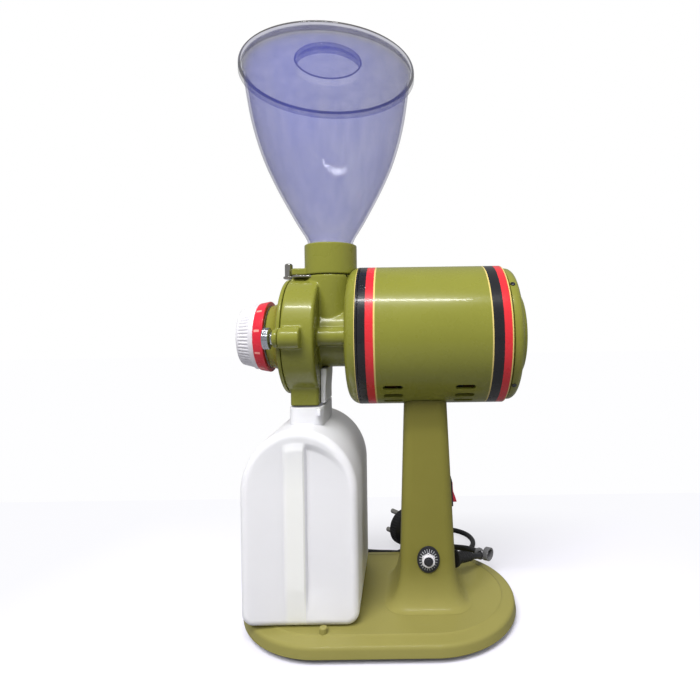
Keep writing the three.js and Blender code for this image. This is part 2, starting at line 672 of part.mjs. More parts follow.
function burrPlaces() {
  const fixedFront = chamberBack - fit.gap - burr.thickness;
  const turningBack = fixedFront - burr.spacing;
  const turningFront = turningBack - burr.thickness;
  return { fixedFront, turningBack, turningFront, holderBack: turningFront - fit.gap };
}

function makeChamber() {
  const joint = motor.front - fit.gap;
  const outerDrum = turned('x', [
    [0, drumFront], [drum.radius, drumFront], [drum.radius, drumBack - drum.backRound],
    [drum.radius - drum.backRound * (1 - Math.SQRT1_2), drumBack - drum.backRound * (1 - Math.SQRT1_2)],
    [drum.radius - drum.backRound, drumBack], [0, drumBack],
  ], facets.large);
  const throatPipe = rod('z', throat.radius, 0, throatTop, facets.medium).translate([throatX, 0, 0]);
  const chuteBottom = -chute.drop;
  const chuteBlock = block(
    chuteX - chute.length / 2, chuteX + chute.length / 2, -chute.depth / 2, chute.depth / 2,
    chuteBottom, -drum.radius / 2,
  );
  let casting = join(
    outerDrum,
    rod('x', bridge.radius, chamberBack, joint, facets.medium),
    throatPipe,
    chuteBlock,
  );
  for (const side of [-1, 1]) {
    casting = join(
      casting,
      rod('x', strut.radius, chamberBack, joint, facets.small).translate([0, side * strut.out, 0]),
      rod('x', lug.radius, drumFront, drumFront + lug.length, facets.small).translate([0, side * lug.out, 0]),
    );
  }
  const chamber = rod('x', drum.radius - drum.wall, drumFront - fit.overrun, chamberBack, facets.large);
  const augerEnd = motor.front - drum.backWall;
  const augerBore = rod('x', bridge.augerBore, chamberBack - fit.overrun, augerEnd, facets.medium);
  const shaftBore = rod('x', shaft.radius + fit.loose, chamberBack, motor.front + fit.overrun, facets.small);
  const feedBore = rod('z', throat.bore, 0, throatTop + fit.overrun, facets.medium);
  const chuteOut = chute.depth / 2 - chute.wall;
  const chuteBore = block(
    chuteX - chute.length / 2 + chute.wall, chamberBack, -chuteOut, chuteOut,
    chuteBottom - fit.overrun, -drum.radius / 2,
  );
  const gateChannel = block(
    throatX - throat.radius - fit.overrun, throatX + gate.tip + fit.loose, -gate.width / 2 - fit.gap,
    gate.width / 2 + fit.gap, throatTop - gate.thickness - fit.gap, throatTop + fit.overrun,
  );
  const behindJoint = rod('x', 2 * motor.radius, joint, shellRear, facets.small);
  casting = cut(casting, chamber, augerBore, shaftBore, feedBore.translate([throatX, 0, 0]));
  casting = cut(casting, chuteBore, gateChannel, behindJoint);
  const holeEnd = drumFront + thumbScrew.reach + fit.gap;
  for (const side of [-1, 1]) {
    const bolt = rod('x', thumbScrew.shankRadius + fit.gap, drumFront - fit.overrun, holeEnd, facets.small);
    casting = cut(casting, bolt.translate([0, side * lug.out, 0]));
  }
  place(head, 'grinder_body', casting, finishes.olivePaint);

  const guardTop = -bridge.radius - fit.gap;
  const guardBack = drumBack + fit.gap;
  const back = slab([
    [guardBack, guardTop], [guardBack + guard.top, guardTop],
    [guardBack + guard.top, guardTop - guard.drop * (1 - guard.waistShare) / 2],
    [guardBack + guard.bottom, guardTop - guard.drop * guard.waistShare],
    [guardBack + guard.bottom, guardTop - guard.drop], [guardBack, guardTop - guard.drop],
  ], -guard.width / 2, guard.width / 2);
  place(head, 'chute_guard', back, finishes.milkyPlastic);

  const { fixedFront, turningBack, turningFront, holderBack } = burrPlaces();
  const fixed = ring('x', burr.bore, burr.radius, fixedFront, chamberBack - fit.gap, facets.medium);
  place(head, 'fixed_burr', fixed, finishes.steel);
  const turning = ring('x', burr.bore, burr.radius, turningFront, turningBack, facets.medium);
  place(head, 'rotating_burr', turning, finishes.steel);
  const holderFront = holderBack - burrHolder.thickness;
  const hubFront = holderFront - burrHolder.hubLength;
  const holder = cut(
    join(
      rod('x', burrHolder.radius, holderFront, holderBack, facets.medium),
      rod('x', burrHolder.hubRadius, hubFront, holderFront + fit.overrun, facets.small),
    ),
    rod('x', shaft.tipRadius + fit.gap, holderFront - burr.spacing, holderBack + fit.overrun, facets.small),
  );
  place(head, 'burr_holder', holder, finishes.darkSteel);

  place(head, 'feed_auger', makeAuger(chamberBack + fit.gap, augerEnd - fit.loose), finishes.steel);
  const springBack = chamberBack - fit.gap - burrSpring.wire;
  const springFront = holderBack + burrSpring.room + burrSpring.wire;
  class Helix extends THREE.Curve {
    getPoint(t, target = new THREE.Vector3()) {
      const angle = fullTurn * burrSpring.turns * t;
      return target.set(
        springBack + t * (springFront - springBack),
        burrSpring.radius * Math.cos(angle),
        burrSpring.radius * Math.sin(angle),
      );
    }
  }
  const springSteps = Math.round(facets.small * burrSpring.turns);
  const spring = wire(new Helix(), burrSpring.wire, facets.corner, springSteps);
  place(head, 'burr_spring', spring, finishes.steel);
  return hubFront;
}

// A screw conveyor: a root tube with one flight, cut to the bore's round
function makeAuger(from, to) {
  const turns = (to - from) / auger.pitch;
  const levels = Math.round(facets.small * turns * auger.levelShare);
  const rings = [];
  for (let level = 0; level <= levels; level += 1) {
    const along = from + (to - from) * level / levels;
    const phase = fullTurn * turns * level / levels;
    const points = [];
    for (let k = 0; k < facets.small; k += 1) {
      const angle = fullTurn * k / facets.small;
      const crest = Math.max(0, Math.cos(angle - phase)) ** auger.flight;
      const radius = auger.rootRadius + (auger.radius - auger.rootRadius) * crest;
      points.push(new THREE.Vector3(along, radius * Math.cos(angle), radius * Math.sin(angle)));
    }
    rings.push(points);
  }
  const bore = rod('x', shaft.radius + fit.gap, from - fit.overrun, to + fit.overrun, facets.small);
  return cut(loft(rings), bore);
}

// Front cover: a bell that closes the drum, held by two thumb screws

function makeCover(hubFront) {
  const back = drumFront - fit.gap;
  const tip = back - cover.bellLength;
  const outer = bellShares.map(([radiusShare, lengthShare]) => [
    cover.tipRadius + (drum.radius - cover.tipRadius) * radiusShare,
    back - cover.bellLength * lengthShare,
  ]);
  const hubBore = spindle.radius + fit.gap;
  const inner = drum.radius - drum.wall;
  const tipBore = cover.tipRadius - cover.wall;
  let casting = turned('x', [
    [inner, back], [drum.radius, back], ...outer, [hubBore, tip], [hubBore, tip + cover.hubWall],
    [tipBore, tip + cover.hubWall], [tipBore, tip + 2 * cover.hubWall],
    [inner - cover.wall, back - cover.flange], [inner, back],
  ], facets.large);
  for (const side of [-1, 1]) {
    const ear = rod('x', cover.lugRadius, back - cover.lugThickness, back, facets.small);
    casting = join(casting, ear.translate([0, side * lug.out, 0]));
  }
  for (const side of [-1, 1]) {
    const screwPath = join(
      rod('x', thumbScrew.shankRadius + fit.gap, tip, back + fit.overrun, facets.small),
      rod('x', thumbScrew.headRadius + fit.gap, tip, back - cover.lugThickness, facets.small),
    );
    casting = cut(casting, screwPath.translate([0, side * lug.out, 0]));
  }
  place(head, 'front_cover', casting, finishes.olivePaint);

  const headBack = back - cover.lugThickness - fit.gap;
  const headFront = headBack - thumbScrew.headLength;
  const waist = headBack - thumbScrew.headLength / 3;
  ['cover_screw_near', 'cover_screw_far'].forEach((name, k) => {
    const side = k === 0 ? -1 : 1;
    const { headRadius, neckRadius, shankRadius, reach } = thumbScrew;
    const screw = turned('x', [
      [0, headFront], [headRadius - fit.loose, headFront], [headRadius, headFront + fit.loose],
      [headRadius, waist], [neckRadius, headBack], [shankRadius, headBack],
      [shankRadius, drumFront + reach], [0, drumFront + reach],
    ], facets.small);
    place(head, name, screw, finishes.zinc).position.y = side * lug.out;
  });

  const ballX = hubFront - fit.gap - spindle.ballRadius;
  const ball = new THREE.SphereGeometry(spindle.ballRadius, facets.small, facets.small / 2);
  place(head, 'thrust_ball', toSolid(ball.translate(ballX, 0, 0)), finishes.steel);
  const spindleBack = ballX - spindle.ballRadius - fit.gap;
  const rodSolid = rod('x', spindle.radius, spindleBack - spindle.length, spindleBack, facets.small);
  place(head, 'adjusting_spindle', rodSolid, finishes.steel);
}

// Adjusting dial: a tapering knurled cup with a painted band round its back edge

function makeDial() {
  const back = motor.front - dial.back - fit.gap;
  const front = back - dial.length;
  const bandFront = back - dialRing.length;
  const cupInner = dialRing.seatRadius - dial.wall;
  const shareBack = dialRing.length / dial.length;
  const radiusAtBand = dial.rearRadius - (dial.rearRadius - dial.frontRadius) * shareBack;
  const seat = Math.min(dialRing.seatRadius, radiusAtBand);
  const hubBore = spindle.radius + fit.gap;
  const hollowFront = back - dial.hollow;
  place(head, 'adjusting_dial', turned('x', [
    [seat, back], [seat, bandFront], [dial.rearRadius, bandFront - fit.gap],
    [dial.frontRadius, front + dial.edge], [dial.frontRadius - dial.edge, front], [0, front],
    [0, front + dial.wall], [hubBore, front + dial.wall], [hubBore, hollowFront],
    [cupInner, hollowFront], [cupInner, back], [seat, back],
  ], facets.large), finishes.satinAlloy);
  place(head, 'dial_ring', turned('x', [
    [seat + fit.gap, bandFront], [dialRing.frontRadius, bandFront], [dialRing.rearRadius, back],
    [seat + fit.gap, back], [seat + fit.gap, bandFront],
  ], facets.large), finishes.redBand);
}

// Feed gate and the neck above it

function makeFeed() {
  const plateBottom = throatTop - gate.thickness;
  const end = throatX - gate.reach;
  const tip = throatX + gate.tip;
  const blade = loft([plateBottom, throatTop - fit.gap].map((z) => (
    roundedRing((end + tip) / 2, 0, z, (tip - end) / 2, gate.width / 2, gate.pinRadius)
  )));
  place(head, 'feed_gate', blade, finishes.nickel);
  const pinTop = throatTop + gate.pinHeight;
  const pin = turned('z', [
    [0, throatTop], [gate.pinRadius, throatTop], [gate.pinRadius, pinTop - gate.pinRadius / 2],
    [gate.pinRadius / 2, pinTop], [0, pinTop],
  ], facets.small);
  place(head, 'feed_gate_pin', pin, finishes.nickel).position.x = end + gate.pinFromEnd;

  const bottom = throatTop + fit.gap;
  const top = bottom + neck.height;
  const ledgeTop = bottom + neck.ledge;
  const socket = hopper.stemRadius + fit.gap;
  let collar = turned('z', [
    [neck.ledgeBore, bottom], [neck.radius, bottom], [neck.radius, top], [socket, top], [socket, ledgeTop],
    [neck.ledgeBore, ledgeTop], [neck.ledgeBore, bottom],
  ], facets.medium).translate([throatX, 0, 0]);
  const lugEnd = throatX - neck.radius - neck.lugLength;
  const ear = block(
    lugEnd, throatX - socket, -neck.lugWidth / 2, neck.lugWidth / 2, bottom, bottom + neck.lugHeight,
  );
  collar = cut(join(collar, ear), turned('x', [
    [0, motor.front - fit.gap], ...flangeProfile(fit.gap),
    [motor.radius + fit.gap, shellRear], [0, shellRear],
  ], facets.large));
  place(head, 'neck_collar', collar, finishes.olivePaint);
  return { ledgeTop, top };
}

// Hopper and its domed lid with a hollow knob, both on the throat's axis

function makeHopper({ ledgeTop, top }) {
  const group = new THREE.Group();
  group.position.x = throatX;
  head.add(group);
  const stemBottom = ledgeTop + fit.gap;
  const outline = hopperShares.map(([heightShare, radiusShare]) => [
    hopper.stemRadius + (hopperRim - hopper.stemRadius) * radiusShare,
    top + hopper.rise * heightShare,
  ]);
  const outer = [[hopper.stemRadius, stemBottom], ...outline];
  const inner = outer.map(([radius, z]) => [radius - hopper.wall, z]).reverse();
  const walls = turned('z', [...outer, ...inner, outer[0]], facets.large);
  place(group, 'hopper', walls, finishes.smokedPlastic);

  const under = top + hopper.rise + fit.gap;
  const over = under + lid.thickness;
  const knobFoot = over + lid.domeRise;
  const knobTop = knobFoot + lid.knobHeight;
  const skirtBore = lid.radius - lid.wall;
  const knobBore = lid.knobRadius - lid.wall;
  const knobCeiling = knobTop - lid.wall;
  const disc = turned('z', [
    [0, knobCeiling], [knobBore - lid.knobRound, knobCeiling], [knobBore, knobCeiling - lid.knobRound],
    [knobBore, knobFoot - lid.wall], [skirtBore, under], [skirtBore, over - lid.skirt],
    [lid.radius, over - lid.skirt], [lid.radius, over - lid.corner], [lid.radius - lid.corner, over],
    [lid.knobRadius, knobFoot], [lid.knobRadius, knobTop - lid.knobRound],
    [lid.knobRadius - lid.knobRound, knobTop], [0, knobTop],
  ], facets.large);
  place(group, 'hopper_lid', disc, finishes.smokedPlastic);
}

// Powder bin: an arch that runs from front to back, with a narrow collar under the chute

// The whole numbers from zero to a last one
const countTo = (last) => Array.from({ length: last + 1 }, (_, k) => k);

// The arch's outline in a plane square to Y, drawn in by an inset on every side
function archRing(y, inset) {
  const half = bin.length / 2 - inset;
  const round = bin.footRound - inset;
  const footCorner = (side, step) => {
    const angle = quarterTurn * step / facets.corner;
    const x = side * (half - round + round * Math.sin(angle));
    return new THREE.Vector3(x, y, inset + round * (1 - Math.cos(angle)));
  };
  const archPoint = (step) => {
    const angle = halfTurn * step / facets.small;
    const z = bin.straightHeight + (bin.archRise - inset) * Math.sin(angle);
    return new THREE.Vector3(half * Math.cos(angle), y, z);
  };
  return [
    ...countTo(facets.corner).map((step) => footCorner(1, step)),
    ...countTo(facets.small).map(archPoint),
    ...countTo(facets.corner).reverse().map((step) => footCorner(-1, step)),
  ];
}

function makeBin() {
  const bottom = baseTop + fit.gap;
  const skin = (inset) => {
    const halfDepth = bin.depth / 2 - inset;
    const round = bin.edgeRound - inset;
    const edgeRing = (side, step) => {
      const angle = quarterTurn * step / facets.corner;
      const y = side * (halfDepth - round + round * Math.cos(angle));
      return archRing(y, inset + round * (1 - Math.sin(angle)));
    };
    return loft([
      ...countTo(facets.corner).map((step) => edgeRing(-1, step)),
      ...countTo(facets.corner).reverse().map((step) => edgeRing(1, step)),
    ]);
  };
  const collar = (inset, over) => {
    const halfLength = bin.collarLength / 2 - inset;
    const halfDepth = bin.collarDepth / 2 - inset;
    return loft([bin.straightHeight, bin.height + over].map((z) => (
      roundedRing(bin.collarShift, 0, z, halfLength, halfDepth, bin.collarRadius - inset)
    )));
  };
  const outside = join(skin(0), collar(0, 0));
  const shell = cut(outside, skin(bin.wall), collar(bin.wall, fit.overrun));
  place(grinder, 'powder_bin', shell, finishes.milkyPlastic).position.set(bin.x, 0, bottom);
}

// Cord: strain relief, lead, coil, tail, tie and plug

function reliefDirection() {
  const turn = new THREE.Euler(0, relief.dip * degree, relief.azimuth * degree, 'ZYX');
  return new THREE.Vector3(1, 0, 0).applyEuler(turn);
}

function plugDirection() {
  const turn = new THREE.Euler(plug.roll * degree, 0, plug.azimuth * degree, 'ZYX');
  return new THREE.Vector3(0, -1, 0).applyEuler(turn);
}

class Coil extends THREE.Curve {
  // Spirals in on the table and out again one layer up, both ends running on straight
  getPoint(t, target = new THREE.Vector3()) {
    const pitch = 2 * cord.radius + cord.spacing;
    const winding = fullTurn * coil.turns * (coil.radius - pitch * coil.turns / 4);
    const straightShare = coil.straight / (winding + 2 * coil.straight);
    const turn = coil.turns * Math.min(1, Math.max(0, (t - straightShare) / (1 - 2 * straightShare)));
    const lead = Math.max(0, 1 - t / straightShare, 1 - (1 - t) / straightShare) * coil.straight;
    const inward = Math.min(turn, coil.turns - turn);
    const radius = coil.radius - pitch * inward;
    const climb = Math.min(1, Math.max(0, (turn - coil.turns / 2) / coil.climbTurns + 1 / 2));
    const rise = pitch * (1 - Math.cos(halfTurn * climb)) / 2;
    const angle = -quarterTurn - fullTurn * turn;
    return target.set(
      coil.x + radius * Math.cos(angle) + lead, coil.y + radius * Math.sin(angle),
      cord.radius + fit.gap / 3 + rise,
    );
  }
}

// Least gap between stretches of the coil that are more than half a turn apart
function coilGap(curve) {
  const samplesPerStep = 8;
  const count = coil.loopSteps * samplesPerStep;
  const points = curve.getSpacedPoints(count);
  const apart = Math.round(count / coil.turns / 2);
  let least = Infinity;
  for (let i = 0; i < points.length; i += 1) {
    for (let j = i + apart; j < points.length; j += 1) {
      least = Math.min(least, points[i].distanceTo(points[j]));
    }
  }
  return least - 2 * cord.radius;
}

function run(points) {
  return new THREE.CatmullRomCurve3(points, false, 'centripetal');
}

function makeCord() {
  const out = reliefDirection();
  const exit = new THREE.Vector3(relief.x, relief.y, relief.z);
  const reliefGroup = new THREE.Group();
  reliefGroup.position.copy(exit);
  reliefGroup.rotation.set(0, relief.dip * degree, relief.azimuth * degree, 'ZYX');
  grinder.add(reliefGroup);
  const boot = turned('x', [
    [0, 0], [relief.flangeRadius, 0], [relief.flangeRadius, relief.flangeThickness],
    [relief.rootRadius, relief.flangeThickness + fit.loose], [relief.endRadius, relief.length],
    [0, relief.length],
  ], facets.small);
  place(reliefGroup, 'strain_relief', boot, finishes.blackRubber);

  const along = (origin, direction, distance) => origin.clone().addScaledVector(direction, distance);
  const tube = 2 * cord.radius;
  const coilCurve = new Coil();
  const [coilStart, coilEnd] = [coilCurve.getPoint(0), coilCurve.getPoint(1)];
  const sideways = new THREE.Vector3(1, 0, 0);
  const lead = run([
    along(exit, out, relief.length + fit.gap),
    along(exit, out, relief.length + fit.gap + tube),
    ...leadPoints.map((point) => new THREE.Vector3(...point)),
    along(coilStart, sideways, fit.gap + tube),
    along(coilStart, sideways, fit.gap),
  ]);
  place(grinder, 'cord_lead', wire(lead, cord.radius, cord.sides, cord.runSteps), finishes.cordSheath);

  const loops = wire(coilCurve, cord.radius, facets.wire, Math.round(coil.loopSteps * coil.turns));
  place(grinder, 'cord_coil', loops, finishes.cordSheath);
  console.log('least gap of the coil to itself:', coilGap(coilCurve).toFixed(2));

  const plugCentre = new THREE.Vector3(plug.x, plug.y, plug.radius + plug.lift);
  const toCord = plugDirection();
  const sleeveReach = plug.radius + plug.sleeveLength;
  const tailCurve = run([
    along(coilEnd, sideways, fit.gap),
    along(coilEnd, sideways, fit.gap + tube),
    ...tailPoints.map((point) => new THREE.Vector3(...point)),
    along(plugCentre, toCord, sleeveReach + fit.gap + tube),
    along(plugCentre, toCord, sleeveReach + fit.gap),
  ]);
  place(grinder, 'cord_tail', wire(tailCurve, cord.radius, cord.sides, cord.runSteps), finishes.cordSheath);

  const half = cordTie.length / 2;
  const band = ring('y', cord.radius + fit.loose, cordTie.radius, -half, half, facets.small);
  const strip = block(cordTie.radius - cordTie.tailWidth, cordTie.radius, -half, half, 0, cordTie.tailLength);
  const tie = place(grinder, 'cord_tie', join(band, strip), finishes.greyPlastic);
  tie.position.set(cordTie.x, cordTie.y, cordTie.z);
  tie.rotation.x = -cordTie.slope * degree;

  const plugGroup = new THREE.Group();
  plugGroup.position.copy(plugCentre);
  plugGroup.rotation.set(plug.roll * degree, 0, plug.azimuth * degree, 'ZYX');
  grinder.add(plugGroup);
  const face = plug.thickness / 2;
  const shell = turned('x', [
    [0, -face - plug.dome], [plug.radius / 2, -face - plug.dome], [plug.radius - plug.faceEdge, -face],
    [plug.radius, -face + plug.faceEdge], [plug.radius, face - plug.faceEdge],
    [plug.radius - plug.faceEdge, face], [0, face],
  ], facets.medium);
  const sleeve = turned('y', [
    [0, -sleeveReach], [plug.sleeveEnd, -sleeveReach], [plug.sleeveRoot, -plug.radius + fit.overrun],
    [0, -plug.radius + fit.overrun],
  ], facets.small);
  place(plugGroup, 'plug_body', join(shell, sleeve), finishes.cordSheath);
  ['plug_pin_upper', 'plug_pin_lower'].forEach((name, k) => {
    const side = k === 0 ? 1 : -1;
    const from = face + fit.gap;
    const pin = turned('x', [
      [0, from], [plug.pinRadius, from], [plug.pinRadius, from + plug.pinLength - plug.pinRadius / 2],
      [plug.pinRadius / 2, from + plug.pinLength], [0, from + plug.pinLength],
    ], facets.small);
    place(plugGroup, name, pin, finishes.nickel).position.z = side * plug.pinSpacing / 2;
  });
}

makeBase();
makeColumn();
makeBreaker();
makeRocker();
makeMotor();
makeCover(makeChamber());
makeDial();
makeHopper(makeFeed());
makeBin();
makeCord();

export default grinder;
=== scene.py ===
# Electric coffee grinder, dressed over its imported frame.
# Lengths are metres in the frame's axes: X from the dial to the motor's tail, Y from the reset
# button's side to the cord's side, Z up from the table.

import json
import math
from types import SimpleNamespace

import bmesh
import bpy
import numpy as np
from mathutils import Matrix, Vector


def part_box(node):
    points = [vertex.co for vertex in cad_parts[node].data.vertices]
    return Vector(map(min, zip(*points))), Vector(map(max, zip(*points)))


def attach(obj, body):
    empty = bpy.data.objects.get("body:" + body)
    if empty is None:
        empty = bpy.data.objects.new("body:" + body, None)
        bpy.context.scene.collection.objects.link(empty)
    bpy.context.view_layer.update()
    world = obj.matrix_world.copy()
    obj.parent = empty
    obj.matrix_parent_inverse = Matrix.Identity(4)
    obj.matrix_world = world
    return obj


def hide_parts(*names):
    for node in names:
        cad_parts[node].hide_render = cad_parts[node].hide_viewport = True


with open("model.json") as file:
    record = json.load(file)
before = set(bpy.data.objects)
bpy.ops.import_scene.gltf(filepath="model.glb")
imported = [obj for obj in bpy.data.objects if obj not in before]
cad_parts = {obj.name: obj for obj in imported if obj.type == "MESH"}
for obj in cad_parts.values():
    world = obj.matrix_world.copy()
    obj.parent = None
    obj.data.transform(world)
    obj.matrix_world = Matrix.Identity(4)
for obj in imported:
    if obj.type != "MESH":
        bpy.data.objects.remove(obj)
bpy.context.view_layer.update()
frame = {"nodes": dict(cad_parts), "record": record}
for leftover in ("Cube", "Light", "Camera"):
    if leftover in bpy.data.objects:
        bpy.data.objects.remove(bpy.data.objects[leftover])

# Driving sizes

mm = 0.001


def sizes(**lengths):
    """Named lengths, given in millimetres and kept in metres. Cuts are how far the corners of a
    profile are cut back to be rounded, in the profile's order from its second corner on."""
    return SimpleNamespace(**{name: np.asarray(value) * mm for name, value in lengths.items()})


gap = 0.0003
overrun = 0.003
tiny = 1e-6
axis_height = 0.2215
head = np.array([0, 0, axis_height])
picture = SimpleNamespace(width=700, focal=471, column=401.5, row=322, roll=0.8)
camera_place = (0.017, -0.385, 0.232)
sensor = 36

motor = sizes(
    front=-25, joint=-15, bore=53, radius=55, round=10, edge=0.5, hub=20, seat=16.3, spigot=52.7, inner=49.7,
    segment=6,
)
flange = sizes(step=-10, floor=-18, hub_back=-8, bore=6.6)
slot = sizes(length=15, width=5, fronts=(2.6, 56), depth=(50, 58))
slot_angles = (43.5, 54.5, 65.5)
tail = sizes(
    lap=5, lip=0.8, step=0.5, groove=50.4, rim=(52.8, 97.4), rim_back=(52.8, 101.4), shoulder=(50.6, 104.5),
    dome=(35, 107.6), end=(33, 111.6), hub_front=91.4, cuts=(0, 0, 0, 0, 0.5, 1.6, 2, 1.5, 1.8),
)
tail_screw_angles = (45, 135, 225, 315)
tail_screw = sizes(
    place=99.4, corners=[(0, 52.4), (1.9, 52.4), (1.9, 53.4), (0.5, 53.8), (0, 53.3)], cuts=(0, 0.5),
)
drum = sizes(
    front=-71, back=-47, radius=46, bore=41, floor=-51, joint=-25.3, waist=25, strut=27, strut_radius=7,
    cuts=(0.5, 3), feed_bore=14.5, feed_end=-29, shaft_bore=6.6, shaft_end=-22, grain=0.8,
)
throat = sizes(x=-40, radius=20.5, bore=14, top=270.3)
channel = sizes(low=(-64, -15.3, 268), high=(-25, 15.3, 273.3), corner=1, edge=0.2)
lug = sizes(
    out=47.5, radius=7.85, back=-55.6, ear=6.5, ear_front=-75.2, hole=2.7, hole_end=-62.7, ear_hole_end=-68,
    room=8.15, web=8, edges=(1, 1, 0.8), ear_edges=(0.6, 0.8, 0.6),
)
chute = sizes(low=(-69.3, -24, 168.4), high=(-47.3, 24, 200), corner=3, edge=0.6)
chute_bore = sizes(low=(-66.3, -21, 165.4), high=(-51, 21, 198), corner=1.5, edge=0.2)
guard = sizes(lip=1.6, lip_drop=5, leaf=3.4, cuts=(0.8, 3, 3, 0.8), edge=0.4)
guard_bend_share = 0.38
under_ear = sizes(low=(-70.7, -10, 262), high=(-56, 10, 268), corner=1.5, edge=0.5)
bell = sizes(
    back=-71.3, front=-90.7, radius=46, rim=45, rim_cut=0.4, tip=21, step=-87.8, grain=0.65,
    inside=[
        (0, -68), (41, -68), (41, -71.3), (37, -73.9), (17, -80.7), (17, -85.7), (5.8, -85.7), (5.8, -94),
        (0, -94),
    ],
)
bell_shares = [
    (1, 0.13), (0.88, 0.185), (0.66, 0.24), (0.44, 0.345), (0.28, 0.5), (0.19, 0.7), (0.17, 0.84),
]
thumb = sizes(
    corners=[
        (0, -81.4), (5.45, -81.4), (6.25, -81.9), (7.85, -81.9), (7.85, -77.4), (4.4, -76.5), (4.4, -75.5),
        (2.4, -75.5), (2.4, -63), (0, -63),
    ],
    cuts=(0.4, 0.4, 0.7, 0.6, 0.5, 0, 0, 0.6), segment=0.8, ridge=0.35, knurl=(-81.6, -77.4),
)
dial = sizes(
    corners=[
        (0, -110.1), (15, -110.1), (19, -111.3), (22.4, -111.3), (25.2, -100.6), (26.2, -100.3), (26.2, -97),
        (24.8, -96.8), (24.8, -88.8), (22, -88.8), (22, -96.8), (5.8, -96.8), (5.8, -107.9), (0, -107.9),
    ],
    cuts=(1, 1.2, 1.6, 0.3, 0.3, 0.3, 0, 0, 0, 2), segment=0.9, ridge=0.8, knurl=(-109.1, -100.8),
)
band = sizes(seat=24.8, radii=(27.2, 28.7), places=(-96.8, -88.8), cut=0.8, marks=(-95.6, -91.4))
gate = sizes(shoulder=-69, handle_end=-60, half=7.5, corner=3.2, handle_corner=6, edge=0.5)
gate_pin = sizes(x=-74.5, radius=3.2, low=270.3, high=280.8, cuts=(0.3, 2))
neck = sizes(
    radius=21.1, low=270.6, ledge=274.6, high=295, socket=18.7, bore=14.5, edge=0.8, clear_end=10, grain=0.5,
)
neck_ear = sizes(low=(-70.7, -10, 270.6), high=(-55, 10, 276), corner=3, edge=0.8)
hopper = sizes(foot=274.9, low=295, rise=138, stem=18.4, rim=67.2, wall=2, lip=0.1)
hopper_shares = [
    (0.02, 0), (0.05, 0.04), (0.115, 0.155), (0.225, 0.33), (0.35, 0.515), (0.5, 0.7), (0.7, 0.865), (1, 1),
]
lid = sizes(
    low=429, under=433.3, shoulder=435.2, radius=70, wall=1.8, crown=48, crown_under=436.3, crown_over=438.5,
    knob=27.4, knob_foot=439.5, top=446.1, cuts=(2, 0.6, 12, 0.8, 0, 0, 1.6, 12, 0.8, 2),
)
# The lid's edge zones are painted a dark line: painted shade where its clear rims are seen edge-on.
tint_zones = sizes(
    hopper_walls=[(64, 69, 428.5, 434), (15, 19, 270, 297)],
    lid_edges=[(68.2, 71, 433.5, 437), (26, 28, 445.2, 447)],
    lid_walls=[(67.9, 71, 428, 433.5), (25, 28, 438.5, 445.2)],
)
bin_box = sizes(
    x=-58.65, low=14.8, half=42.35, half_y=50, straight=95.2, rise=46, top=153.2, wall=2, edge=6, foot=9,
    collar_half=12.9, collar_half_y=28, collar_round=7, collar_edge=0.5, collar_x=1.65,
)
bin_grid = (150, 120)
bin_relief = sizes(
    left=-69.5, left_fade=2.5, right=-53.6, right_fade=0.9, rise=1.5, sunk=2, sunk_step=1.2, sunk_end=-20,
    sunk_fade=30, top=9, top_fade=5, low=6, low_fade=22,
)
# Where the bin's painted light lies: a painted highlight on the rib up to rib_end and rib_top, and painted
# shade on the arch above the shoulder. wander shifts the rib's edge.
bin_painted_light = sizes(rib_end=-53.7, rib_top=152, shoulder=112, wander=4)
bin_catch = sizes(low=(9, -2, -6), high=(12, 3, -1), corner=0.8, edge=0.4)
column = sizes(
    x=34.8, low=14.8, foot_low=14.53, high=171.5, shank=(45, 51), crown=(33.5, 46), foot=(66, 70), flare=24,
    corner=8, foot_corner=9, lip=0.1, wall=5, ceiling=161.5, run=152, seat_end=96, paint_low=50,
)
foot_spread, flare_share, inner_corner_share = 1.12, 1.15, 0.8
base = sizes(
    x=-3.05, half=108.55, half_y=67.5, high=14.5, wall=5, ceiling=10, bolt_x=24, bolt_y=16, bolt_hole=2.5,
    cable_hole=11, hole_top=20, cuts=(0.3, 0.3, 2.6, 1.2, 0.4),
    side=[(5, 4), (0.8, 4), (0, 4.8), (1.2, 12.4), (10.2, 13.9), (11, 14.5), (13, 14.5)],
)
peg = sizes(x=-41, y=54, radius=2.8, low=12, high=18.5, edge=0.9)
foot = sizes(corners=[(0, 0.4), (5, 0.4), (5.6, 0), (7.5, 0)], top=9, cuts=(0, 0.3, 0.7, 0.4))
breaker = sizes(
    x=35, z=50.5, radius=9.25, hole=4.9, plate=(-25.1, -26.1), plate_cuts=(0.1, 0.5), recess=11.05, deep=-40,
    flats=5.6, chamfer=0.3, nut_edge=0.35, bush=3.6, bush_radii=(4.9, 4.5), bush_length=0.9,
    bush_cuts=(0.1, 0.4), button=3, button_cuts=(1.1, 0.2), marks=(4.6, 7),
)
breaker_stretch = (0.93, 1, 1.1)
breaker_oval_share = 0.86
rocker = sizes(
    place=(54.29, 0, 94), sleeve=(-19.4, 1, 6.3, 9.3, 0.8, 0.4), flange=(0.3, 1.9, 7.5, 10.5, 0.8, 0.4),
    opening=(-9, 3, 6, 8.7, 0.5, 0.1), pocket=(-20, 3, 6.6, 9.6, 0.4, 0.1),
    cap=[(-1.25, 0), (0.3, 8.2), (2.4, 8.2), (2.4, 0), (5.1, -7.7), (0.3, -7.7), (-1.25, 0)],
    cap_cuts=(0.4, 0.6, 3.5, 0.7, 0.5), cap_half=5.5, cap_edge=0.3,
)
rocker_lean = -2.166
relief = sizes(
    place=(57.5, 8, 34), length=22, socket=7.3, passage=3.4, corners=[(0, 0), (7, 0), (7, 2.5), (5.2, 2.5)],
    cuts=(0.3, 0.6), taper=(3.1, 22, 5, 3.5),
)
relief_angles = (40, 14)
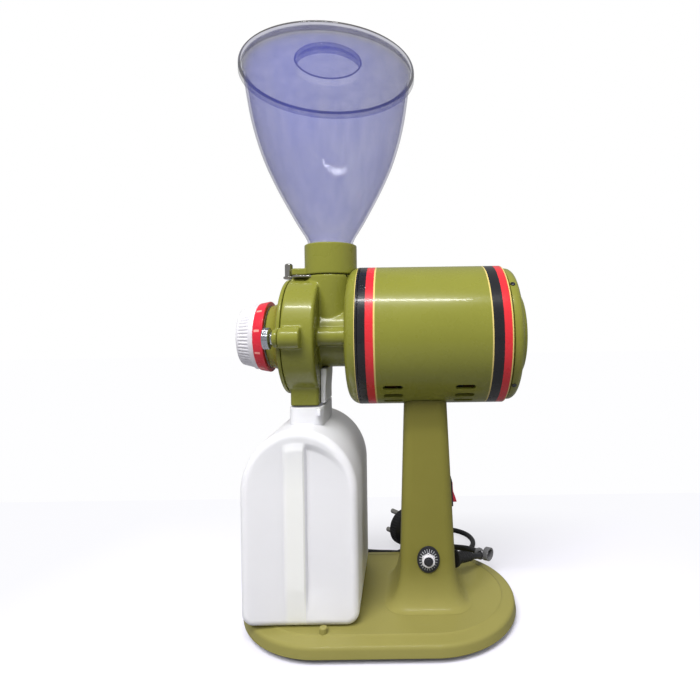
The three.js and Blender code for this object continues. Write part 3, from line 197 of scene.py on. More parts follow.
plug = sizes(
    place=(18, 108, 17.7), reach=33.5, taper=(-33.5, -14.5, 3.7, 5.6), segment=0.8, ridge=0.5,
    knurl=(-4.4, 4.4), corners=[(0, -13), (8.7, -13), (16, -6), (17.5, -4.2), (17.5, 4.2), (16.2, 6), (0, 6)],
    cuts=(1.5, 1.5, 0.8, 0.8, 0.6),
)
pin = sizes(radius=2.4, out=9.5, start=6.3, end=25.3, cuts=(0, 1.6))
plug_angles = (132, 0, 20.6)
rib_count = 6
rib_groove = 0.0009
tie = sizes(place=(84.7, 40.2, 22), bore=3.1, radius=4.4, ends=(-3.4, 3.4), cut=0.3)
loop = sizes(aside=(6.9, -1.6, 0.4), bore=3.7, radius=4.9, ends=(-2.8, 2.8), cut=0.4)
tie_slope = -14.5
loop_stretch = (0.85, 1, 1.2)
loop_angles = (38, 34)

cord_radius = 0.0025
coil = sizes(centre=(-92, 104), radius=32.5, spacing=0.5, straight=6)
coil_turns = 4.5
cord_points = sizes(
    lead=[
        (82.8, 31.8, 24.4), (84.7, 40.2, 22), (82.8, 48.7, 20), (77.6, 55.5, 18.8), (71.5, 59, 18.3),
        (63, 61, 18.2), (52, 62.8, 18.2), (40, 66.6, 17.8), (29, 71, 14.6), (17, 74, 9.4), (5, 75.2, 5),
        (-8, 75.2, 3), (-24, 75, 2.6), (-42, 74, 2.6), (-60, 72.6, 2.6), (-74, 71.7, 2.6),
    ],
    tail=[
        (-74, 136, 6.6), (-64, 132.6, 4), (-55.5, 124.8, 2.7), (-49.5, 114, 2.6), (-43.5, 103, 2.6),
        (-36, 94, 2.6), (-26, 88, 2.6), (-12, 85, 2.6), (5, 83.5, 2.6), (22, 81.4, 2.6), (38, 78.8, 2.6),
        (50, 77.4, 2.6), (61, 77.1, 2.6), (73.5, 80.9, 2.6), (84.1, 91.5, 2.6), (88, 106, 2.6),
        (84.1, 120.5, 2.6), (74, 130.6, 2.6), (61, 135, 2.6), (52, 134.6, 2.7),
    ],
)


# Shader maths: sockets that work like numbers

def maths(operation):
    """A method that adds a Math node, from a socket and another socket or number."""
    def method(self, other=0.0):
        return self.owner.node("ShaderNodeMath", {"operation": operation}, {0: self, 1: other})
    return method


class Value:
    """A node's output. Sums, products and comparisons of it add Math nodes to their owner, and turn
    gives the angle whose tangent is the value over the other."""

    def __init__(self, owner, socket):
        self.owner = owner
        self.socket = socket

    __add__ = __radd__ = maths("ADD")
    __sub__ = maths("SUBTRACT")
    __mul__ = __rmul__ = maths("MULTIPLY")
    __pow__ = maths("POWER")
    __gt__ = maths("GREATER_THAN")
    __lt__ = maths("LESS_THAN")
    __abs__ = maths("ABSOLUTE")
    most = maths("MAXIMUM")
    least = maths("MINIMUM")
    wave = maths("SINE")
    turn = maths("ARCTAN2")

    def __rsub__(self, other):
        return self.owner.node("ShaderNodeMath", {"operation": "SUBTRACT"}, {0: other, 1: self})

    def clamped(self):
        """The value, kept from 0 to 1."""
        return self.most(0).least(1)


class Nodes:
    """The nodes of a material or of the world."""

    def __init__(self, tree):
        self.nodes = tree.nodes
        self.links = tree.links

    def feed(self, socket, value):
        """Gives a socket its number, colour or link."""
        if isinstance(value, Value):
            self.links.new(value.socket, socket)
        else:
            socket.default_value = value

    def node(self, kind, settings=None, inputs=None, output=0):
        """Adds one node: its settings first, then its sockets' values or links."""
        made = self.nodes.new(kind)
        for name, value in (settings or {}).items():
            setattr(made, name, value)
        for key, value in (inputs or {}).items():
            self.feed(made.inputs[key], value)
        return Value(self, made.outputs[output])

    def seen(self):
        """1 for what the camera sees, also through clear plastic, otherwise 0."""
        rays = self.node("ShaderNodeLightPath", output="Is Camera Ray")
        return rays.most(self.node("ShaderNodeLightPath", output="Is Transmission Ray"))


class Finish(Nodes):
    """A material, with the methods that several finishes need."""

    def __init__(self, name, **constants):
        self.material = bpy.data.materials.new(name)
        self.material.use_nodes = True
        super().__init__(self.material.node_tree)
        self.shader = self.nodes["Principled BSDF"]
        self.set(constants)

    def set(self, values):
        """Gives shader sockets their numbers, colours or links."""
        for name, value in values.items():
            self.feed(self.shader.inputs[name.replace("_", " ")], value)

    def coordinates(self, stretch=(1, 1, 1)):
        """Object coordinates, each multiplied by its stretch."""
        place = self.node("ShaderNodeTexCoord", output="Object")
        return self.node("ShaderNodeMapping", {}, {"Vector": place, "Scale": stretch})

    def along(self, axis):
        """The X, Y or Z of the surface, in metres."""
        place = self.node("ShaderNodeTexCoord", output="Object")
        return self.node("ShaderNodeSeparateXYZ", {}, {0: place}, axis.upper())

    def noise(self, size, detail=3, stretch=(1, 1, 1)):
        """Cloudy noise from 0 to 1 with lumps of that size in metres."""
        inputs = {"Vector": self.coordinates(stretch), "Scale": 1 / size, "Detail": detail}
        return self.node("ShaderNodeTexNoise", {}, inputs)

    def grains(self, size):
        """Distance from the middle of round cells of that size in metres."""
        inputs = {"Vector": self.coordinates(), "Scale": 1 / size}
        return self.node("ShaderNodeTexVoronoi", {}, inputs)

    def mix(self, share, first, second):
        """A colour between two colours."""
        return self.node("ShaderNodeMix", {"data_type": "RGBA"}, {0: share, 6: first, 7: second}, 2)

    def between(self, value, low, high):
        """1 where the value lies between two numbers, otherwise 0."""
        return (value > low) * (value < high)

    def coat(self, colour, patches, low, high):
        """Sets the colour, and a roughness from low to high as the patches go from 0 to 1."""
        self.set({"Base Color": colour, "Roughness": patches * (high - low) + low})
        return self

    def bump(self, height, depth):
        """Raises the surface by the height, depth being metres for a height of 1."""
        inputs = {"Height": height, "Distance": depth, "Strength": 1.0}
        self.set({"Normal": self.node("ShaderNodeBump", {}, inputs)})
        return self


def tint(red, green, blue):
    """A colour as seen on screen, 0 to 255 a channel, in the linear light that shaders use."""
    shares = np.array([red, green, blue]) / 255
    linear = np.where(shares <= 0.04045, shares / 12.92, ((shares + 0.055) / 1.055) ** 2.4)
    return (*linear.tolist(), 1.0)


def darker(colour, share):
    """The colour at a share of its light."""
    return tuple(share * part for part in colour[:3]) + (1.0,)


# Finishes

olive = tint(130, 131, 52), tint(119, 120, 46)
sand_olive = tint(142, 136, 76), tint(131, 125, 68)
column_olive = tint(124, 119, 55), tint(116, 111, 50)
ring_red = tint(214, 46, 60), tint(196, 36, 54)
texture = sizes(
    cloud=30, speck=0.6, wear=12, peel=1.2, peel_depth=0.01, rough_peel=0.7, rough_peel_depth=0.06,
    steel_mark=0.8, steel_patch=10, steel_depth=0.01, alloy_mark=1, alloy_patch=6, metal_wear=2,
    sheet_patch=5, sheet_depth=0.05, wire_patch=4, wire_depth=0.08, mould_patch=20, mould_wear=4,
    mould_grain=0.5, mould_depth=0.02, flow=12, milk_patch=50, milk_drift=80, milk_wear=6, milk_wave=4,
    milk_depth=0.03,
)
gold = tint(206, 186, 112)
stripe_black = tint(30, 30, 34)
stripe_red = tint(206, 44, 52)
stripes = [
    (-17, -16.5, gold), (-16.5, -9, stripe_black), (-9, -3.2, stripe_red), (-3.2, -2, gold),
    (81, 82, gold), (82, 89.5, stripe_black), (89.5, 95, stripe_red), (95, 96.2, gold),
]


def enamel(
    name, shades, lump=texture.peel, depth=texture.peel_depth, roughness=0.26, bands=(), gloss=0.3,
):
    """Stoving enamel: faint clouds between a light and a dark shade, and a fine orange-peel skin
    under a clear coat, with painted bands between two places along X."""
    made = Finish(name, Coat_Roughness=0.1, Coat_Weight=gloss, Specular_IOR_Level=gloss)
    clouds = made.noise(texture.cloud, 4)
    speck = made.noise(texture.speck, 2)
    light, dark = shades
    colour = made.mix(clouds * 0.7 + speck * 0.3, dark, light)
    place = made.along("x")
    for low, high, paint in bands:
        colour = made.mix(made.between(place, low * mm, high * mm), colour, paint)
    made.coat(colour, made.noise(texture.wear), roughness - 0.05, roughness + 0.09)
    return made.bump(made.noise(lump, 2), depth)


def column_enamel(name):
    """The column's browner paint, which runs into the base's along the flare."""
    made = enamel(name, column_olive, roughness=0.36, gloss=0.12)
    clouds = made.noise(texture.cloud, 4)
    low = ((column.paint_low - made.along("z")) * 30).clamped()
    upper, lower = (made.mix(clouds, dark, light) for light, dark in (column_olive, sand_olive))
    made.set({"Base Color": made.mix(low, upper, lower)})
    return made


def ring_enamel(name):
    """Red enamel with ten pale marks round its front half."""
    made = enamel(name, ring_red)
    angle = made.along("y").turn(made.along("z") - axis_height)
    line = (abs((angle * 5 + 0.6).wave()) < 0.16) * made.between(made.along("x"), *band.marks)
    light, dark = ring_red
    red = made.mix(made.noise(texture.cloud, 4), dark, light)
    made.set({"Base Color": made.mix(line, red, tint(240, 150, 140))})
    return made


def breaker_black(name):
    """Black moulded plate with a ring of silver marks printed round the nut."""
    made = moulded(name, tint(38, 38, 42), 0.36)
    across = made.along("x") - breaker.x
    upward = (made.along("z") - breaker.z) * breaker_oval_share
    radius = (across * across + upward * upward) ** 0.5
    marks = (abs((upward.turn(across) * 11).wave()) < 0.42) * made.between(radius, *breaker.marks)
    made.set({"Base Color": made.mix(marks, tint(34, 34, 38), tint(170, 172, 176))})
    return made


def plain_steel(name, colour, grain=(1, 1, 1), roughness=0.3):
    """Bare metal with fine turning or grinding marks drawn out along one axis."""
    made = Finish(name, Metallic=1.0)
    marks = made.noise(texture.steel_mark, 4, grain)
    shade = made.mix(made.noise(texture.steel_patch), darker(colour, 0.8), colour)
    return made.coat(shade, marks, roughness - 0.08, roughness + 0.14).bump(marks, texture.steel_depth)


def satin_alloy(name):
    """Pale satin plating over the knurls: a quarter metal, so that it stays light in soft light."""
    made = Finish(name, Metallic=0.25)
    shade = made.mix(made.noise(texture.alloy_patch), tint(220, 218, 224), tint(242, 240, 244))
    return made.coat(shade, made.noise(texture.alloy_mark, 3, (8, 1, 1)), 0.24, 0.4)


def moulded(name, colour, roughness=0.4, **constants):
    """Moulded plastic or rubber: fine spark-eroded grain and a slight unevenness of shade."""
    made = Finish(name, **constants)
    shade = made.mix(made.noise(texture.mould_patch), darker(colour, 0.86), colour)
    made.coat(shade, made.noise(texture.mould_wear), roughness - 0.06, roughness + 0.08)
    return made.bump(made.grains(texture.mould_grain), texture.mould_depth)


def tinted_plastic(name, edges, walls):
    """Clear periwinkle plastic with faint upright flow marks, denser where it is seen edge-on. Zones (inner
    radius, outer radius, low, high) about the throat's axis: edges are painted a dark line, a painted shade
    for how a clear rim looks dark when seen edge-on, and upright walls are thinner and greyer."""
    made = Finish(name, Roughness=0.04, IOR=1.16, Coat_Roughness=0.02)
    facing = made.node("ShaderNodeLayerWeight", {}, {"Blend": 0.3}, "Facing")
    across = made.along("x") - throat.x
    out = made.along("y")
    radius = (across * across + out * out) ** 0.5
    height = made.along("z")

    def zone(spans):
        inside = facing * 0
        for inner, outer, low, high in spans:
            inside = inside.most(made.between(radius, inner, outer) * made.between(height, low, high))
        return inside

    line, wall = zone(edges), zone(walls)
    flow = made.noise(texture.flow, 3, (1, 1, 0.05))
    body = made.mix(facing ** 1.5, made.mix(flow, tint(26, 42, 170), tint(66, 80, 198)), tint(74, 72, 134))
    body = made.mix(wall, body, tint(60, 58, 112))
    # Painted shade: the edge zones are painted near black, with most of the alpha.
    made.set({
        "Base Color": made.mix(line, body, tint(44, 38, 36)),
        "Alpha": ((facing ** 2.2 * 0.28 + 0.19 + flow * 0.14) * (1 - wall * 0.15)).most(line * 0.8),
        "Coat Weight": (1 - facing) * 0.8,
    })
    return made


def milky_plastic(name):
    """Blow-moulded white plastic: light passes into it and its shade drifts a little. Its rib gets a painted
    highlight, the whitest colour, and the arch above the shoulder gets a painted shade, a greyer colour."""
    made = Finish(name, Subsurface_Weight=0.45, Subsurface_Radius=(0.02, 0.02, 0.022), Subsurface_Scale=0.6)
    place = made.along("x") + (made.noise(texture.milk_drift, 1) - 0.5) * bin_painted_light.wander
    height = made.along("z")
    # Painted highlight: the rib is painted near white, up to the rib's top.
    rib_highlight = ((place - bin_relief.left) * 300).clamped() * (made.along("x") < bin_painted_light.rib_end)
    rib_highlight = rib_highlight * ((bin_painted_light.rib_top - height) * 120).clamped()
    # Painted shade: the arch above the shoulder is painted greyer.
    shoulder = ((height - bin_painted_light.shoulder) * 25).clamped()
    shade = made.mix(made.noise(texture.milk_patch), tint(239, 238, 246), tint(245, 244, 250))
    shade = made.mix(shoulder, made.mix(rib_highlight, shade, tint(254, 254, 252)), tint(228, 228, 234))
    made.coat(shade, made.noise(texture.milk_wear), 0.3, 0.42)
    return made.bump(made.noise(texture.milk_wave), texture.milk_depth)


def layered_metal(name, dark, light, layers, depth, patch, roughness, **constants):
    """Bare metal in fine layers across the axis: wire laid in turns, or stacked sheets."""
    made = Finish(name, Metallic=1.0, **constants)
    shade = made.mix(made.noise(patch), dark, light)
    made.coat(shade, made.noise(texture.metal_wear), roughness, roughness + 0.2)
    return made.bump((made.along("x") * layers).wave(), depth)


finishes = {
    "olive_paint": enamel("olive_enamel", olive),
    "base_paint": enamel(
        "base_enamel", sand_olive, texture.rough_peel, texture.rough_peel_depth, 0.42, gloss=0.15,
    ),
    "tinted_plastic": tinted_plastic("periwinkle_plastic", [], tint_zones.hopper_walls),
    "milky_plastic": milky_plastic("milky_plastic"),
    "white_plastic": moulded("can_plastic", tint(216, 216, 208)),
    "satin_alloy": satin_alloy("satin_alloy"),
    "red_band": ring_enamel("red_enamel"),
    "zinc": plain_steel("bright_zinc", tint(214, 218, 226), (1, 6, 1), 0.24),
    "steel": plain_steel("ground_steel", tint(176, 178, 184), (10, 1, 1)),
    "dark_steel": layered_metal(
        "laminated_steel", tint(70, 72, 78), tint(108, 110, 116), 12000, texture.sheet_depth,
        texture.sheet_patch, 0.4,
    ),
    "copper_winding": layered_metal(
        "copper_wire", tint(150, 82, 44), tint(196, 122, 70), 7000, texture.wire_depth, texture.wire_patch,
        0.3, Coat_Weight=0.5,
    ),
    "black_rubber": moulded("black_rubber", tint(34, 34, 36), 0.7),
    "black_plastic": moulded("black_plastic", tint(38, 38, 42)),
    "red_plastic": moulded("red_plastic", tint(200, 32, 58), 0.25, Coat_Weight=0.4),
    "cord_sheath": moulded("cord_sheath", tint(30, 30, 33), 0.38),
    "grey_plastic": moulded("grey_plastic", tint(112, 112, 115), 0.35),
    "nickel": plain_steel("nickel_plate", tint(206, 204, 198), (1, 1, 6), 0.2),
}

lid_plastic = tinted_plastic("periwinkle_lid", tint_zones.lid_edges, tint_zones.lid_walls)
column_paint = column_enamel("column_enamel")
striped_paint = enamel("striped_enamel", olive, bands=stripes)
breaker_paint = breaker_black("breaker_black")

slot_of = {part["node"]: part["material_slot"] for part in frame["record"]["subparts"]}
body_of = {
    node: body for body, nodes in frame["record"]["behaviour"]["bodies"].items() for node in nodes
}
for node, slot_name in slot_of.items():
    mesh = frame["nodes"][node].data
    mesh.materials.clear()
    mesh.materials.append(finishes[slot_name].material)


# Camera, as the photograph was taken

def in_scene(data, name):
    """A new object of the scene that shows the data."""
    made = bpy.data.objects.new(name, data)
    bpy.context.scene.collection.objects.link(made)
    return made


def make_camera():
    data = bpy.data.cameras.new("camera")
    data.sensor_width = sensor
    data.lens = sensor * picture.focal / picture.width
    data.shift_x = (picture.width / 2 - picture.column) / picture.width
    data.shift_y = (picture.row - picture.width / 2) / picture.width
    data.clip_start = 0.01
    camera = in_scene(data, "camera")
    camera.location = camera_place
    camera.rotation_euler = (math.pi / 2, math.radians(picture.roll), 0)
    bpy.context.scene.camera = camera


make_camera()


# Shapes: a shell is (points, faces)

def ramp(value, run):
    """0 up to zero, then straight up to 1 over the run."""
    return np.clip(value / run, 0, 1)


def grid_faces(rows, columns, wrap=True):
    """Quads between the neighbours of a grid of points; wrap joins its last column to its first."""
    row = np.arange(rows - 1)[:, None] * columns
    column = np.arange(columns if wrap else columns - 1)[None, :]
    after = (column + 1) % columns
    quads = [row + column, row + after, row + columns + after, row + columns + column]
    return np.stack(np.broadcast_arrays(*quads), axis=-1).reshape(-1, 4).tolist()


def skin(rings, caps=True):
    """Shell through rings of as many points each, with a face across each end."""
    rings = np.asarray(rings, float)
    levels, count = rings.shape[:2]
    faces = grid_faces(levels, count)
    if caps:
        last = (levels - 1) * count
        faces += [list(range(count)), list(range(last, last + count))]
    return rings.reshape(-1, 3), faces


def softened(corners, cuts=(), steps=6):
    """Path through corners. From the second on each is cut back by its cut and rounded by
    (1 - t)^2 start + 2 t (1 - t) corner + t^2 end. Corners without a cut stay sharp."""
    corners = np.array(corners, float)
    t = np.linspace(0, 1, steps)[:, None]
    path = [corners[:1]]
    for before, here, after, cut in zip(corners, corners[1:], corners[2:], [*cuts, *[0] * len(corners)]):
        if cut == 0:
            path.append(here[None])
            continue
        start = here + (before - here) * cut / np.linalg.norm(before - here)
        end = here + (after - here) * cut / np.linalg.norm(after - here)
        path.append((1 - t) ** 2 * start + 2 * t * (1 - t) * here + t ** 2 * end)
    return np.vstack([*path, corners[-1:]])


def ring_section(bore, radii, places, cuts):
    """Closed section of a ring, with an outer radius and a cut at each of two places."""
    (first, last), (start, end) = np.broadcast_to(radii, 2), places
    corners = [(bore, start), (first, start), (last, end), (bore, end), (bore, start)]
    return softened(corners, np.broadcast_to(cuts, 2))


def dense(path, step):
    """The same path with its points no further apart than a step."""
    path = np.asarray(path, float)
    runs = []
    for start, end in zip(path, path[1:]):
        count = max(1, math.ceil(np.linalg.norm(end - start) / step))
        runs.append(start + (end - start) * np.arange(count)[:, None] / count)
    return np.vstack([*runs, path[-1:]])


def lathe(axis, centre, profile, count=96, ridges=0, depth=0.0, span=(0.0, 0.0)):
    """Profile of (radius r, place s) turned about an axis: p = centre + s a + r (cos t b + sin t c).
    Between the two places of span the outer skin, not a bore, is lower by depth (1 - |sin(n t / 2)|)
    for n ridges."""
    a, b, c = np.roll(np.eye(3), -"xyz".index(axis), axis=0)
    radius, place = np.asarray(profile, float).T[:, :, None]
    t = np.linspace(0, 2 * np.pi, count, endpoint=False)[None, :]
    fade = 0.4 * mm
    within = ramp(place - span[0], fade) * ramp(span[1] - place, fade)
    radius = radius - depth * within * (1 - abs(np.sin(ridges * t / 2))) * (radius > radius.max() / 2)
    points = np.asarray(centre) + place[..., None] * a
    points = points + (radius * np.cos(t))[..., None] * b + (radius * np.sin(t))[..., None] * c
    return skin(points, caps=False)


def rod(axis, centre, radius, start, end, count=96, cuts=0.0):
    """Round bar from one place on the axis to another, with the edge of each end rounded."""
    corners = [(0, start), (radius, start), (radius, end), (0, end)]
    return lathe(axis, centre, softened(corners, np.broadcast_to(cuts, 2)), count)


def rounded_rectangle(half_a, half_b, radius, steps=8):
    """Outline with quarter-circle corners, counter-clockwise."""
    angle = (np.linspace(0, np.pi / 2, steps + 1) + np.arange(4)[:, None] * np.pi / 2).ravel()
    side_a = np.repeat([1, -1, -1, 1], steps + 1)
    side_b = np.repeat([1, 1, -1, -1], steps + 1)
    return np.stack([
        side_a * (half_a - radius) + radius * np.cos(angle),
        side_b * (half_b - radius) + radius * np.sin(angle),
    ], axis=1)


def tower(x, y, levels, steps=8):
    """Shell through level rounded rectangles, each (height, half length, half depth, corner)."""
    rings = []
    for height, half_x, half_y, corner in levels:
        outline = rounded_rectangle(half_x, half_y, corner, steps)
        rings.append(np.column_stack([outline + (x, y), np.full(len(outline), height)]))
    return skin(rings)


def block(low, high, corner, edge):
    """Box between two corners, with round upright edges and quarter-circle rims above and below."""
    (x0, y0, z0), (x1, y1, z1) = low, high
    t = np.linspace(0, np.pi / 2, 5)
    inset, rise = edge * (1 - np.sin(t)), edge * (1 - np.cos(t))
    half_x, half_y = (x1 - x0) / 2, (y1 - y0) / 2
    lower = [(z0 + r, half_x - i, half_y - i, max(corner - i, edge / 8)) for i, r in zip(inset, rise)]
    upper = [(z0 + z1 - height, *rest) for height, *rest in reversed(lower)]
    return tower((x0 + x1) / 2, (y0 + y1) / 2, lower + upper)


def slab(piece):
    """The block that a piece's sizes give."""
    return block(piece.low, piece.high, piece.corner, piece.edge)


def prism(outline, y0, y1):
    """Closed outline of (x, z), drawn out along Y."""
    return skin([np.insert(outline, 1, y, axis=1) for y in (y0, y1)])


def moved(shell, place=(0, 0, 0), turn=np.eye(3), stretch=(1, 1, 1)):
    """The shell stretched about the origin, then turned by a matrix, then set at a place."""
    return (shell[0] * stretch) @ turn.T + np.asarray(place), shell[1]


def merged(shells):
    """Several shells as one."""
    starts = np.cumsum([0] + [len(points) for points, _ in shells])
    faces = [[corner + start for corner in face] for start, (_, some) in zip(starts, shells) for face in some]
    return np.vstack([points for points, _ in shells]), faces


def solid(name, *shells, sharp=32):
    """One object of closed shells, with doubled points merged and all faces outward."""
    points, faces = merged(shells)
    mesh = bpy.data.meshes.new(name)
    mesh.from_pydata(points.tolist(), [], faces)
    work = bmesh.new()
    work.from_mesh(mesh)
    bmesh.ops.remove_doubles(work, verts=work.verts, dist=tiny)
    bmesh.ops.recalc_face_normals(work, faces=work.faces)
    work.to_mesh(mesh)
    work.free()
    return crisp(in_scene(mesh, name), sharp)


def crisp(made, sharp):
    """Smooth shading, with an edge kept sharp where faces meet at more than that angle."""
    made.data.shade_smooth()
    made.data.set_sharp_from_angle(angle=math.radians(sharp))
    return made


def finished(made, *steps, sharp=32):
    """Adds modifiers, each (kind, settings), and works them into the mesh."""
    for kind, settings in steps:
        step = made.modifiers.new(kind.lower(), kind)
        for name, value in settings.items():
            setattr(step, name, value)
    graph = bpy.context.evaluated_depsgraph_get()
    mesh = bpy.data.meshes.new_from_object(made.evaluated_get(graph))
    made.modifiers.clear()
    made.data = mesh
    mesh.name = made.name
    return crisp(made, sharp)


def combined(made, shells, operation="DIFFERENCE", sharp=32):
    """Cuts shells away from a piece, or joins them to it."""
    tools = [solid("tool", shell) for shell in shells]
    steps = [("BOOLEAN", {"solver": "MANIFOLD", "operation": operation, "object": tool}) for tool in tools]
    made = finished(made, *steps, sharp=sharp)
    for tool in tools:
        bpy.data.objects.remove(tool)
    return made


def bevelled(made, width):
    """Rounds every edge that is sharper than 35 degrees."""
    limit = {"limit_method": "ANGLE", "angle_limit": math.radians(35)}
    return finished(made, ("BEVEL", {"width": width, "segments": 3, **limit}), sharp=40)


def cast(name, grain, rounds, *shells):
    """Shells melted into one casting: rebuilt on a fine grid and smoothed, which fillets every joint."""
    return finished(
        solid(name, *shells),
        ("REMESH", {"mode": "VOXEL", "voxel_size": grain}),
        ("SMOOTH", {"factor": 0.5, "iterations": rounds}),
        sharp=60,
    )


def dress(made, *nodes, finish=None):
    """Gives a piece its finish and lets it stand for its CAD nodes, on their body."""
    slot_name = slot_of[nodes[0]]
    made.data.materials.clear()
    made.data.materials.append((finish or finishes[slot_name]).material)
    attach(made, body_of[nodes[0]])
    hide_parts(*nodes)
    return made


def directions(azimuth, dip=0.0, roll=0.0):
    """Turning matrix: roll about X, then dip down about Y, then azimuth about Z, in degrees."""
    a, d, r = np.radians([azimuth, dip, roll])
    about_z = np.array([[np.cos(a), -np.sin(a), 0], [np.sin(a), np.cos(a), 0], [0, 0, 1]])
    about_y = np.array([[np.cos(d), 0, np.sin(d)], [0, 1, 0], [-np.sin(d), 0, np.cos(d)]])
    about_x = np.array([[1, 0, 0], [0, np.cos(r), -np.sin(r)], [0, np.sin(r), np.cos(r)]])
    return about_z @ about_y @ about_x


def out_from_axis(angle):
    """Turning matrix that points Z out from the motor's axis, at an angle above +Y in degrees."""
    a = math.radians(angle)
    outward = np.array([0, math.cos(a), math.sin(a)])
    return np.stack([(1, 0, 0), np.cross(outward, (1, 0, 0)), outward], axis=1)


def smooth_route(points, samples=8):
    """Centripetal Catmull-Rom curve through the points: on each stretch a cubic whose slopes come
    from the four points around it, spaced by the square roots of their distances."""
    points = np.asarray(points, float)
    ends = (2 * points[0] - points[1], 2 * points[-1] - points[-2])
    padded = np.vstack([ends[0], points, ends[1]])
    step = np.sqrt(np.linalg.norm(np.diff(padded, axis=0), axis=1))[:, None]
    p0, p1, p2, p3 = padded[:-3], padded[1:-2], padded[2:-1], padded[3:]
    d0, d1, d2 = step[:-2], step[1:-1], step[2:]
    slope1 = d1 * ((p1 - p0) / d0 - (p2 - p0) / (d0 + d1) + (p2 - p1) / d1)
    slope2 = d1 * ((p2 - p1) / d1 - (p3 - p1) / (d1 + d2) + (p3 - p2) / d2)
    t = (np.arange(samples) / samples)[None, :, None]
    p1, p2, slope1, slope2 = (array[:, None, :] for array in (p1, p2, slope1, slope2))
    curve = (
        (2 * t**3 - 3 * t**2 + 1) * p1 + (t**3 - 2 * t**2 + t) * slope1
        + (3 * t**2 - 2 * t**3) * p2 + (t**3 - t**2) * slope2
    )
    return np.vstack([curve.reshape(-1, points.shape[1]), points[-1:]])


# Cord: the lead, the coil behind the bin and the tail to the plug, in one piece

def coil_route():
    """Flat spiral inward on the table, a half turn's climb, and a spiral outward one layer up."""
    pitch = 2 * cord_radius + coil.spacing
    turn = np.linspace(0, coil_turns, round(48 * coil_turns))
    radius = coil.radius - pitch * np.minimum(turn, coil_turns - turn)
    climb = np.clip((turn - coil_turns / 2) / 0.5 + 0.5, 0, 1)
    angle = -np.pi / 2 - 2 * np.pi * turn
    return np.stack([
        coil.centre[0] + radius * np.cos(angle),
        coil.centre[1] + radius * np.sin(angle),
        cord_radius + gap / 3 + pitch * (1 - np.cos(np.pi * climb)) / 2,
    ], axis=1)


def cord_route():
    """The cord's middle line: from its boot to the coil, round the coil, and on to the plug."""
    out = directions(*relief_angles)[:, 0]
    exit_point = relief.place + out * (relief.length + gap)
    turns = coil_route()
    aside = np.array([coil.straight, 0, 0])
    toward_cord = -directions(*plug_angles)[:, 1]
    plug_end = plug.place + toward_cord * (plug.reach + gap)
    lead = [exit_point, exit_point + out * 2 * cord_radius, *cord_points.lead, turns[0] + aside]
    tail_end = [plug_end + toward_cord * 2 * cord_radius, plug_end]
    return np.vstack([
        smooth_route(lead), turns, smooth_route([turns[-1] + aside, *cord_points.tail, *tail_end]),
    ])


def make_cord(on_cord):
    route = cord_route()
    data = bpy.data.curves.new("mains_cord", "CURVE")
    data.dimensions = "3D"
    data.bevel_depth = cord_radius
    data.bevel_resolution = 4
    data.use_fill_caps = True
    spline = data.splines.new("POLY")
    spline.points.add(len(route) - 1)
    spline.points.foreach_set("co", np.hstack([route, np.ones((len(route), 1))]).ravel())
    made = in_scene(data, "mains_cord")
    data.materials.append(finishes["cord_sheath"].material)
    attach(made, "frame")
    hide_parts("cord_lead", "cord_coil", "cord_tail")


# Motor

def flange_round(grow=0.0):
    """Quarter circle from the flange's front face to its rim, as (radius, place)."""
    t = np.linspace(0, np.pi / 2, 12)
    reach = motor.round + grow
    middle = motor.radius - motor.round, motor.front + motor.round
    return np.stack([middle[0] + reach * np.sin(t), middle[1] - reach * np.cos(t)], axis=1)


def make_motor():
    low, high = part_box("motor_shell")
    section = ring_section(motor.bore, motor.radius, (low.x, high.x), motor.edge)
    levels = [(radius, slot.length / 2, slot.width / 2, slot.width / 2) for radius in slot.depth]
    slots = [
        moved(tower(0, 0, levels), head + (start + slot.length / 2, 0, 0), out_from_axis(angle))
        for start in slot.fronts for below in slot_angles for angle in (-below, 180 + below)
    ]
    shell = solid("motor_drum", lathe("x", head, dense(section, motor.segment), 240))
    dress(combined(shell, slots), "motor_shell", finish=striped_paint)

    front = np.vstack([
        [(flange.bore, motor.front)], flange_round(), [
            (motor.radius, motor.joint), (motor.spigot, motor.joint), (motor.spigot, flange.step),
            (motor.inner, flange.step), (motor.inner, flange.floor), (motor.hub, flange.floor),
            (motor.hub, flange.hub_back), (motor.seat, flange.hub_back), (motor.seat, flange.floor),
            (flange.bore, flange.floor), (flange.bore, motor.front),
        ],
    ])
    dress(solid("motor_flange", lathe("x", head, front, 192)), "motor_front_flange", finish=striped_paint)

    lap = high.x - tail.lap
    rim, rim_back, end = tail.rim[1], tail.rim_back[1], tail.end[1]
    cover = softened([
        (motor.inner, lap), (motor.spigot, lap), (motor.spigot, high.x - tail.lip),
        (tail.groove, high.x - tail.step), (tail.groove, rim), tail.rim, tail.rim_back, tail.shoulder,
        tail.dome, tail.end, (0, end), (0, rim_back + gap), (motor.seat, rim_back + gap),
        (motor.seat, tail.hub_front), (motor.hub, tail.hub_front), (motor.hub, rim_back), (motor.inner, rim),
        (motor.inner, lap),
    ], tail.cuts)
    dress(solid("motor_tail", lathe("x", head, cover, 192)), "motor_rear_cover")

    screw = lathe("z", (0, 0, 0), softened(tail_screw.corners, tail_screw.cuts), 24)
    spot = head + (tail_screw.place, 0, 0)
    made = solid("tail_screws", *[moved(screw, spot, out_from_axis(angle)) for angle in tail_screw_angles])
    made.data.materials.append(finishes["dark_steel"].material)
    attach(made, "frame")


# Burr chamber and its cover

def pair(out, make):
    """The same shell at a distance on the near and on the far side of the axis."""
    return [make(side * out) for side in (-1, 1)]


def beside(y, radius, start, end, count, cuts=0.0):
    """Round bar along X, at a distance beside the motor's axis."""
    return rod("x", head + (0, y, 0), radius, start, end, count, cuts)


